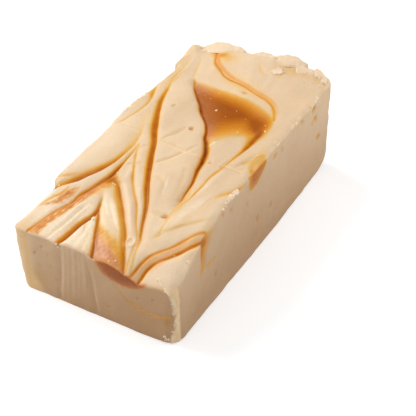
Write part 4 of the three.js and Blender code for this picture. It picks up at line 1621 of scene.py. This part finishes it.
@dataclass(frozen=True)
class Grain:
    """The fine bumps that all the fudge and caramel share."""

    def build(self) -> Tree:
        """Make the shared group.

        Returns:
            A group with marks as inputs and the height of the bumps as output.
        """
        graph = Graph.group("fudge_grain", (Mark.CARAMEL, Mark.CUT), {"Height": "NodeSocketFloat"})
        inside = graph.add("NodeGroupInput").outputs
        outside = graph.add("NodeGroupOutput").inputs
        where = graph.add("ShaderNodeTexCoord").outputs["Object"]
        crystals = graph.noise(where, 2200.0, 3.0, 0.6)
        lumps = graph.noise(where, 420.0, 2.0)
        drawn = graph.add("ShaderNodeMapping")
        drawn.inputs["Scale"].default_value = (1.0, 1.0, 0.09)
        graph.link(where, drawn.inputs["Vector"])
        drag = graph.noise(drawn.outputs["Vector"], 1100.0, 2.0)
        dragged = graph.maths("MULTIPLY", drag, graph.maths("MULTIPLY", inside["Cut"], 0.2))
        clear = graph.maths("SUBTRACT", 1.0, graph.maths("MULTIPLY", inside["Caramel"], 0.6))
        fine = graph.maths("MULTIPLY", crystals, clear)
        height = graph.maths("ADD", graph.maths("ADD", fine, graph.maths("MULTIPLY", lumps, 0.8)), dragged)
        graph.link(height, outside["Height"])
        return graph.tree


@dataclass(frozen=True)
class Finish:
    """One of the materials made from the shared groups, sizes in metres."""

    name: str
    bump: float
    scatter: float
    gloss: float
    smoother: float
    bump_height: float = 0.0003
    scatter_reach: float = 0.0012
    scatter_tint: Triple = (1.0, 0.55, 0.3)

    def build(self, marbling: Tree, grain: Tree) -> Material:
        """Make the material.

        Args:
            marbling: The shared colours.
            grain: The shared bumps.

        Returns:
            The material.
        """
        material = bpy.data.materials.new(self.name)
        material.use_nodes = True
        graph = Graph(material.node_tree)
        shader = material.node_tree.nodes["Principled BSDF"]
        colours = graph.add("ShaderNodeGroup", node_tree=marbling)
        bumps = graph.add("ShaderNodeGroup", node_tree=grain)
        for mark in Mark:
            value = graph.add("ShaderNodeAttribute", attribute_name=mark.value).outputs["Fac"]
            graph.link(value, colours.inputs[mark.value.title()])
            if mark.value.title() in bumps.inputs:
                graph.link(value, bumps.inputs[mark.value.title()])
        bump = graph.add("ShaderNodeBump")
        bump.inputs["Strength"].default_value = self.bump
        bump.inputs["Distance"].default_value = self.bump_height
        graph.link(bumps.outputs["Height"], bump.inputs["Height"])
        graph.link(bump.outputs["Normal"], shader.inputs["Normal"])
        graph.link(colours.outputs["Colour"], shader.inputs["Base Color"])
        rough = graph.maths("SUBTRACT", colours.outputs["Roughness"], self.smoother, clamp=True)
        graph.link(rough, shader.inputs["Roughness"])
        shader.inputs["Subsurface Weight"].default_value = self.scatter
        shader.inputs["Subsurface Radius"].default_value = self.scatter_tint
        shader.inputs["Subsurface Scale"].default_value = self.scatter_reach
        shader.inputs["Specular IOR Level"].default_value = self.gloss
        return material


CREAM = Finish("cream_fudge", bump=0.35, scatter=0.12, gloss=0.24, smoother=0.0)
CARAMEL = Finish("caramel", bump=0.2, scatter=0.1, gloss=0.34, smoother=0.08)
CRUMB = Finish("pale_crumbs", bump=0.05, scatter=0.0, gloss=0.25, smoother=0.0)


@dataclass
class Block:
    """The fudge block with the caramel that lies in it."""

    slab: Slab = field(default_factory=Slab)
    inlays: tuple[Inlay, ...] = (
        Inlay("pool_of_caramel", "caramel_pool", 2.6, Face.TOP),
        Inlay("front_caramel", "caramel_front", 2.4, Face.FRONT),
        Inlay("side_caramel", "caramel_side", 0.9, Face.RIGHT),
    )
    gap: float = 0.02

    def build(self, cream: Material, caramel: Material) -> list[bpy.types.Object]:
        """Build the block and its caramel.

        Args:
            cream: The block's material.
            caramel: The material of the caramel pieces.

        Returns:
            The pieces.
        """
        low, high = (np.array(corner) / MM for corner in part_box("fudge_block"))
        slab = self.slab
        slab.shift = np.array([high[0] - slab.width / 2, low[1] + slab.length / 2, 0.0])
        mesh = slab.blank()
        slab.shape(np.array([vert.co for vert in mesh.verts]))
        points = (slab.place + slab.shift) * MM
        write_points(mesh, points)
        for mark, values in slab.marks.items():
            layer = mesh.verts.layers.float.new(mark.value)
            for vert, value in zip(mesh.verts, values):
                vert[layer] = value
        mesh.verts.index_update()
        mesh.faces.index_update()
        mesh.verts.ensure_lookup_table()
        pieces = []
        taken = np.zeros(len(points), dtype=bool)
        for inlay in self.inlays:
            inside = inlay.holds(slab) & ~taken
            pieces.append(self.lift_out(mesh, inlay, inside, caramel))
            taken |= inside
        pieces.append(make_object("fudge_slab", mesh, cream))
        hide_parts("fudge_block")
        return pieces

    def lift_out(self, mesh: Mesh, inlay: Inlay, inside: Array, finish: Material) -> bpy.types.Object:
        """Make one caramel piece from a patch of the surface and sink the block under it.

        Args:
            mesh: The block's mesh.
            inlay: The caramel to lift out.
            inside: Which points it holds.
            finish: Its material.

        Returns:
            The caramel piece.
        """
        patch = [face for face in mesh.faces if all(inside[vert.index] for vert in face.verts)]
        held = {face.index for face in patch}
        border = {
            vert.index
            for face in patch
            for vert in face.verts
            if any(other.index not in held for other in vert.link_faces)
        }
        within = np.array(sorted({vert.index for face in patch for vert in face.verts}))
        rim = self.slab.place[sorted(border)]
        place = self.slab.place[within]
        inset = np.full(len(within), 1e3)
        for point in rim:
            inset = np.minimum(inset, np.linalg.norm(place - point, axis=1))
        sunk = inlay.depth * (1.0 - np.exp(-((inset / (inlay.swell * inlay.depth)) ** inlay.swell_power)))
        inward = -self.slab.normal[within]
        dish = dict(zip(within.tolist(), (inward * sunk[:, None])))
        lens = mesh.copy()
        number = {vert: index for index, vert in enumerate(lens.verts)}
        loose = [face for index, face in enumerate(lens.faces) if index not in held]
        bmesh.ops.delete(lens, geom=loose, context="FACES")
        origin = {vert: number[vert] for vert in lens.verts}
        copied = bmesh.ops.duplicate(lens, geom=list(lens.faces))
        under = [item for item in copied["geom"] if isinstance(item, bmesh.types.BMFace)]
        bmesh.ops.reverse_faces(lens, faces=under)
        twins = {copied["vert_map"][vert]: index for vert, index in origin.items()}
        for vert, index in twins.items():
            vert.co = vert.co + Vector(dish[index] * MM)
        seam = [vert for vert in lens.verts if vert.is_boundary]
        bmesh.ops.remove_doubles(lens, verts=seam, dist=1e-6)
        tops = set(lens.faces) - set(under)
        for edge in lens.edges:
            sides = [face in tops for face in edge.link_faces]
            edge.smooth = len(set(sides)) < 2
        for index in within:
            vert = mesh.verts[index]
            extra = self.gap if index not in border else 0.0
            vert.co = vert.co + Vector((dish[index] - self.slab.normal[index] * extra) * MM)
        for face in patch:
            for edge in face.edges:
                if any(other.index not in held for other in edge.link_faces):
                    edge.smooth = False
        piece = make_object(inlay.piece, lens, finish)
        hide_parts(inlay.node)
        return piece


@dataclass(frozen=True)
class Flake:
    """A thin broken flake of fudge that lies on the top with its front and rear lifted, in mm."""

    at: tuple[float, float]
    half: tuple[float, float]
    turn: float
    lifts: tuple[float, float]
    droop: float
    thick: float
    seed: int
    ragged: float = 0.12
    overhang: float = 44.6
    root: float = 0.2
    cells: tuple[int, int] = (44, 18)
    ring: float = 2.6
    curl: float = 1.2
    least_lift: float = -0.1
    rim_drop: float = 0.8
    pale: float = 0.25
    # Painted highlight: how much paler the flake's rim is than its face.
    rim_highlight: float = 0.4

    def build(self, mesh: Mesh, slab: Slab) -> None:
        """Add the flake to a mesh.

        Args:
            mesh: The mesh of all flakes.
            slab: The shaped slab that it lies on.
        """
        wide, deep = self.cells
        verts = bmesh.ops.create_grid(mesh, x_segments=wide, y_segments=deep, size=1.0)["verts"]
        u, v, _ = np.array([vert.co for vert in verts]).T
        across = u * np.sqrt(1.0 - v**2 / 2.0)
        along = v * np.sqrt(1.0 - u**2 / 2.0)
        out = np.hypot(across, along)
        turn = np.arctan2(along, across)
        ring = (self.ring * np.cos(turn), self.ring * np.sin(turn))
        broken = 1.0 + out**2 * self.ragged * Ripple(self.seed, 1.6).at(*ring)
        broken = broken + out**4 * 0.25 * self.ragged * Ripple(self.seed + 90, 0.6).at(*ring)
        x = across * broken * self.half[0]
        y = along * broken * self.half[1]
        cosine = math.cos(self.turn)
        sine = math.sin(self.turn)
        right = self.at[0] + x * cosine - y * sine
        back = self.at[1] + x * sine + y * cosine
        ground = slab.top_height(right, np.minimum(back, self.overhang))
        front, rear = self.lifts
        lift = front + (rear - front) * (0.5 + 0.5 * along) ** self.curl - self.droop * across**2
        rim = soft_step(out, 0.8, 1.0)
        waves = Ripple(self.seed + 50, 2.6, height=0.06).at(x, y)
        level = ground + np.maximum(lift, self.least_lift) + waves - self.rim_drop * self.thick * rim
        place = np.stack([right, back, level], axis=1)
        layer = mesh.verts.layers.float[Mark.PALE.value]
        for vert, point, edged in zip(verts, place + slab.shift, rim):
            vert.co = Vector(point) * MM
            # The rim gets a painted highlight.
            vert[layer] = self.pale + self.rim_highlight * edged
        sheet = list({face for vert in verts for face in vert.link_faces})
        known = set(mesh.verts)
        bmesh.ops.solidify(mesh, geom=sheet, thickness=self.thick * MM)
        under = [vert for vert in mesh.verts if vert not in known]
        middle = np.array([vert.co for vert in under]) / MM - slab.shift
        floor = slab.top_height(middle[:, 0], np.minimum(middle[:, 1], self.overhang)) - self.root
        for vert, level in zip(under, floor):
            vert.co.z = min(vert.co.z, level * MM)


@dataclass(frozen=True)
class Trail:
    """Crumbs strewn along a line on one face, or one at each of its points if no count is given, mm."""

    route: Curve
    count: int
    size: Span
    spread: float
    sink: float
    face: Face = Face.TOP

    def strew(self, slab: Slab, draw: np.random.Generator) -> list[tuple[Array, float]]:
        """Choose where the crumbs lie.

        Args:
            slab: The shaped slab.
            draw: The source of chance.

        Returns:
            The middle of each crumb in the slab's own frame, and its half size, mm.
        """
        near = np.flatnonzero(slab.normal @ self.face.outward > 0.35)
        flat = slab.place[near][:, self.face.axes]
        knots = np.array(self.route, dtype=float)
        ticks = np.linspace(0.0, 1.0, len(knots))
        found = []
        for number in range(self.count or len(knots)):
            share = draw.uniform() if self.count else number / max(1, len(knots) - 1)
            spot = np.array([np.interp(share, ticks, knots[:, 0]), np.interp(share, ticks, knots[:, 1])])
            spot = spot + draw.normal(0.0, self.spread, 2)
            index = near[np.argmin(((flat - spot) ** 2).sum(axis=1))]
            size = draw.uniform(*self.size)
            found.append((slab.place[index] + slab.normal[index] * size * self.sink, size))
        return found


@dataclass
class Bits:
    """The flakes along the rear edge and the crumbs on the cuts, some of them pale beads that stand for
    painted glints, one piece each.
    """

    trails: tuple[Trail, ...]
    flakes: tuple[Flake, ...] = tuple(Flake(*row) for row in FLAKES)
    seed: int = 77
    stretch: Span = (0.55, 1.35)
    dents: Span = (0.82, 1.14)
    crumb_pale: float = 0.9

    def build(self, slab: Slab, cream: Material) -> list[bpy.types.Object]:
        """Build the flakes and the crumbs.

        Args:
            slab: The shaped slab that they lie on.
            cream: Their material.

        Returns:
            The two pieces.
        """
        sheets = bmesh.new()
        self.whiten(sheets, 0.0)
        for flake in self.flakes:
            flake.build(sheets, slab)
        crumbs = bmesh.new()
        draw = np.random.default_rng(self.seed)
        for trail in self.trails:
            for middle, size in trail.strew(slab, draw):
                self.add_crumb(crumbs, (middle + slab.shift) * MM, size * MM, draw)
        self.whiten(crumbs, self.crumb_pale)
        return [
            make_object("rear_flakes", sheets, cream),
            make_object("crumbs", crumbs, cream),
        ]

    def add_crumb(self, mesh: Mesh, middle: Array, size: float, draw: np.random.Generator) -> None:
        """Add one crumb, a lump without two alike.

        Args:
            mesh: The mesh of all crumbs.
            middle: Where it lies, metres.
            size: Its half size, metres.
            draw: The source of chance.
        """
        verts = bmesh.ops.create_icosphere(mesh, subdivisions=2, radius=size)["verts"]
        stretch = draw.uniform(*self.stretch, 3)
        for vert in verts:
            vert.co = Vector(np.array(vert.co) * stretch * draw.uniform(*self.dents))
        turn = Euler(tuple(draw.uniform(0.0, math.pi, 3))).to_matrix().to_4x4()
        bmesh.ops.transform(mesh, matrix=Matrix.Translation(Vector(middle)) @ turn, verts=verts)

    @staticmethod
    def whiten(mesh: Mesh, amount: float) -> None:
        """Mark all of a mesh as pale.

        Args:
            mesh: The mesh.
            amount: How pale, 0 to 1.
        """
        layer = mesh.verts.layers.float.new(Mark.PALE.value)
        for vert in mesh.verts:
            vert[layer] = amount


# Pale beads that stand for glints on the pool: painted highlights.
POOL_GLINTS = (
    (-4.1, 27.3), (-5.1, 24.5), (3.6, 17.6), (9.3, 19.2), (5.1, 21.4), (8.9, 12.2), (10.8, 11.4),
    (16.4, 17.9),
)
EDGE_DOTS = (
    (20.1, 41.3), (23.3, 36.4), (23.9, 33.2), (24, 22.3), (23.3, 11.4), (17.2, 40), (21.8, 40.9),
    (18.8, -36.2),
)
CLEFT_LINE = ((-8.3, -33.2), (-8.1, -33.5), (-7.6, -34.1), (-7.1, -34.7))
LIP_LINE = ((17.2, 20.6), (19.2, 20.1), (20.6, 19.6), (21.6, 18.7))
FIN_LINE = ((22.1, 17.4), (22.5, 15.4), (22.7, 13.4), (22.5, 11.4), (23.1, 10.2))
CRUMB_TRAILS = (
    Trail(CLEFT_LINE, 14, (0.26, 0.45), 0.1, 0.1),
    Trail(((-24, -23.5), (-23.4, -25.4), (-22.8, -27.2)), 6, (0.2, 0.45), 0.3, -0.6),
    Trail(((-12.1, 20.6), (-11.9, 19.6), (-11.2, 19.2)), 0, (0.15, 0.26), 0.05, 0.0, Face.FRONT),
    Trail(((6.7, 3.1), (7.5, 3.7), (8.3, 4.4)), 14, (0.2, 0.42), 0.12, -0.1),
    Trail(((23.5, -12.2), (23.6, -13.8), (23.8, -15.8)), 40, (0.2, 0.5), 0.25, 0.1),
    Trail(((23.7, -16), (23.9, -18), (24, -20.4)), 16, (0.12, 0.3), 0.12, 0.1),
    Trail(((23.5, 37), (23.9, 33.4), (24, 30.8)), 26, (0.12, 0.32), 0.14, 0.0),
    Trail(((24, 23.2), (24, 21.6)), 8, (0.14, 0.34), 0.12, 0.0),
    Trail(((24, 12), (24, 9)), 8, (0.1, 0.24), 0.12, 0.0),
    # Pale beads that stand for glints on the junction: painted highlights.
    Trail(((-7.9, -22.9), (-8.4, -22.9), (-9.2, -19.2)), 0, (0.2, 0.3), 0.05, 0.0),
    Trail(((23.1, -36.9), (23.1, -36.9)), 4, (0.15, 0.34), 0.2, 0.0),
    # Pale beads that stand for glints on the pool: painted highlights.
    Trail(POOL_GLINTS, 0, (0.11, 0.19), 0.05, 0.0),
    # Pale beads that stand for glints on the pool: painted highlights.
    Trail(((-0.4, 19.3), (-0.2, 19.2), (17.7, 14.9), (17.8, 15.1)), 0, (0.2, 0.3), 0.08, 0.0),
    Trail(EDGE_DOTS, 0, (0.18, 0.32), 0.1, 0.0),
    # Pale beads that stand for glints on the tongue: painted highlights.
    Trail(((4.4, -43.6), (5, -43.4), (3.6, -44)), 0, (0.12, 0.22), 0.1, -0.1),
    Trail(LIP_LINE, 30, (0.12, 0.34), 0.14, -0.2, Face.FRONT),
    Trail(FIN_LINE, 14, (0.1, 0.22), 0.12, -0.3, Face.FRONT),
    Trail(((22.8, 8), (22.9, 6), (22.5, 4.4), (22.1, 2.6)), 14, (0.1, 0.26), 0.14, -0.3, Face.FRONT),
    Trail(((20, 2.4), (22.4, 1.4)), 10, (0.15, 0.4), 0.4, -0.2, Face.FRONT),
    Trail(((-23.8, 36), (-23.4, 38), (-22.8, 40)), 9, (0.2, 0.4), 0.3, -0.2),
    Trail(((-24.1, 4), (-24, 10), (-23.6, 15), (-23.2, 19)), 22, (0.25, 0.5), 0.35, -0.1),
)


@dataclass(frozen=True)
class Studio:
    """The pale floor, the soft lights and the camera, in metres."""

    floor_half: float = 3.0
    floor_tone: float = 0.66
    floor_glow: float = 0.5
    floor_rough: float = 0.9
    floor_gloss: float = 0.1
    white: tuple[float, float, float, float] = (1.0, 1.0, 1.0, 1.0)
    quiet: tuple[str, ...] = ("left", "rear right")
    lights: tuple[tuple[str, Triple, float, float], ...] = (
        ("overhead", (0.05, -0.3, 0.75), 0.9, 2.05),
        ("front", (0.4, -0.48, 0.14), 0.4, 0.66),
        ("key", (-0.54, 0.03, 0.6), 0.42, 3.85),
        ("left", (-0.5, -0.17, 0.11), 0.2, 0.9),
        ("rear right", (0.3, 0.26, 0.2), 0.24, 0.9),
    )
    sky: float = 0.2
    sky_seen: float = 0.95
    eye: Triple = (0.138997, -0.230195, 0.228029)
    yaw: float = -0.5178543
    pitch: float = 0.6935506
    lens: float = 103.85
    sensor: float = 36.0
    near_clip: float = 0.01

    def build(self) -> None:
        """Set the studio up."""
        self.lay_floor()
        for light in self.lights:
            self.hang_light(*light)
        self.paint_sky()
        self.place_camera()
        bpy.context.scene.view_settings.view_transform = "Standard"

    def lay_floor(self) -> None:
        """Lay the pale floor."""
        sheet = bmesh.new()
        bmesh.ops.create_grid(sheet, x_segments=2, y_segments=2, size=self.floor_half)
        data = bpy.data.meshes.new("floor")
        sheet.to_mesh(data)
        sheet.free()
        material = bpy.data.materials.new("floor")
        material.use_nodes = True
        shader = material.node_tree.nodes["Principled BSDF"]
        shader.inputs["Base Color"].default_value = (*(self.floor_tone,) * 3, 1.0)
        shader.inputs["Roughness"].default_value = self.floor_rough
        shader.inputs["Specular IOR Level"].default_value = self.floor_gloss
        shader.inputs["Emission Color"].default_value = self.white
        graph = Graph(material.node_tree)
        seen = graph.add("ShaderNodeLightPath").outputs["Is Camera Ray"]
        graph.link(graph.maths("MULTIPLY", seen, self.floor_glow), shader.inputs["Emission Strength"])
        data.materials.append(material)
        floor = bpy.data.objects.new("floor", data)
        bpy.context.scene.collection.objects.link(floor)

    def hang_light(self, name: str, place: Triple, size: float, power: float) -> None:
        """Hang a square soft light that faces the slab.

        Args:
            name: The light's name.
            place: Where it hangs.
            size: Its side.
            power: Its power in watts.
        """
        data = bpy.data.lights.new(name, "AREA")
        data.size = size
        data.energy = power
        light = bpy.data.objects.new(name, data)
        light.location = place
        light.visible_glossy = name not in self.quiet
        light.rotation_euler = (-Vector(place)).to_track_quat("-Z", "Y").to_euler()
        bpy.context.scene.collection.objects.link(light)

    def paint_sky(self) -> None:
        """Surround the studio with dim white light that looks white to the camera."""
        world = bpy.data.worlds.new("studio")
        world.use_nodes = True
        bpy.context.scene.world = world
        graph = Graph(world.node_tree)
        back = world.node_tree.nodes["Background"]
        back.inputs["Color"].default_value = self.white
        seen = graph.add("ShaderNodeLightPath").outputs["Is Camera Ray"]
        brighter = graph.maths("MULTIPLY", seen, self.sky_seen - self.sky)
        strength = graph.maths("ADD", brighter, self.sky)
        graph.link(strength, back.inputs["Strength"])

    def place_camera(self) -> None:
        """Place the camera where the photograph was taken from."""
        data = bpy.data.cameras.new("camera")
        data.sensor_fit = "HORIZONTAL"
        data.sensor_width = self.sensor
        data.lens = self.lens
        data.clip_start = self.near_clip
        camera = bpy.data.objects.new("camera", data)
        turn = Matrix.Rotation(-self.yaw, 4, "Z") @ Matrix.Rotation(math.pi / 2 - self.pitch, 4, "X")
        camera.matrix_world = Matrix.Translation(self.eye) @ turn
        bpy.context.scene.collection.objects.link(camera)
        bpy.context.scene.camera = camera


def main() -> None:
    """Build the pieces and the studio in order."""
    logging.basicConfig(level=logging.INFO, format="%(message)s")
    marbling = Marbling().build()
    grain = Grain().build()
    cream = CREAM.build(marbling, grain)
    caramel = CARAMEL.build(marbling, grain)
    block = Block()
    for piece in block.build(cream, caramel):
        log.info("placed %s", piece.name)
    for piece in Bits(CRUMB_TRAILS).build(block.slab, CRUMB.build(marbling, grain)):
        log.info("placed %s", piece.name)
    Studio().build()


if __name__ == "__main__":
    main()
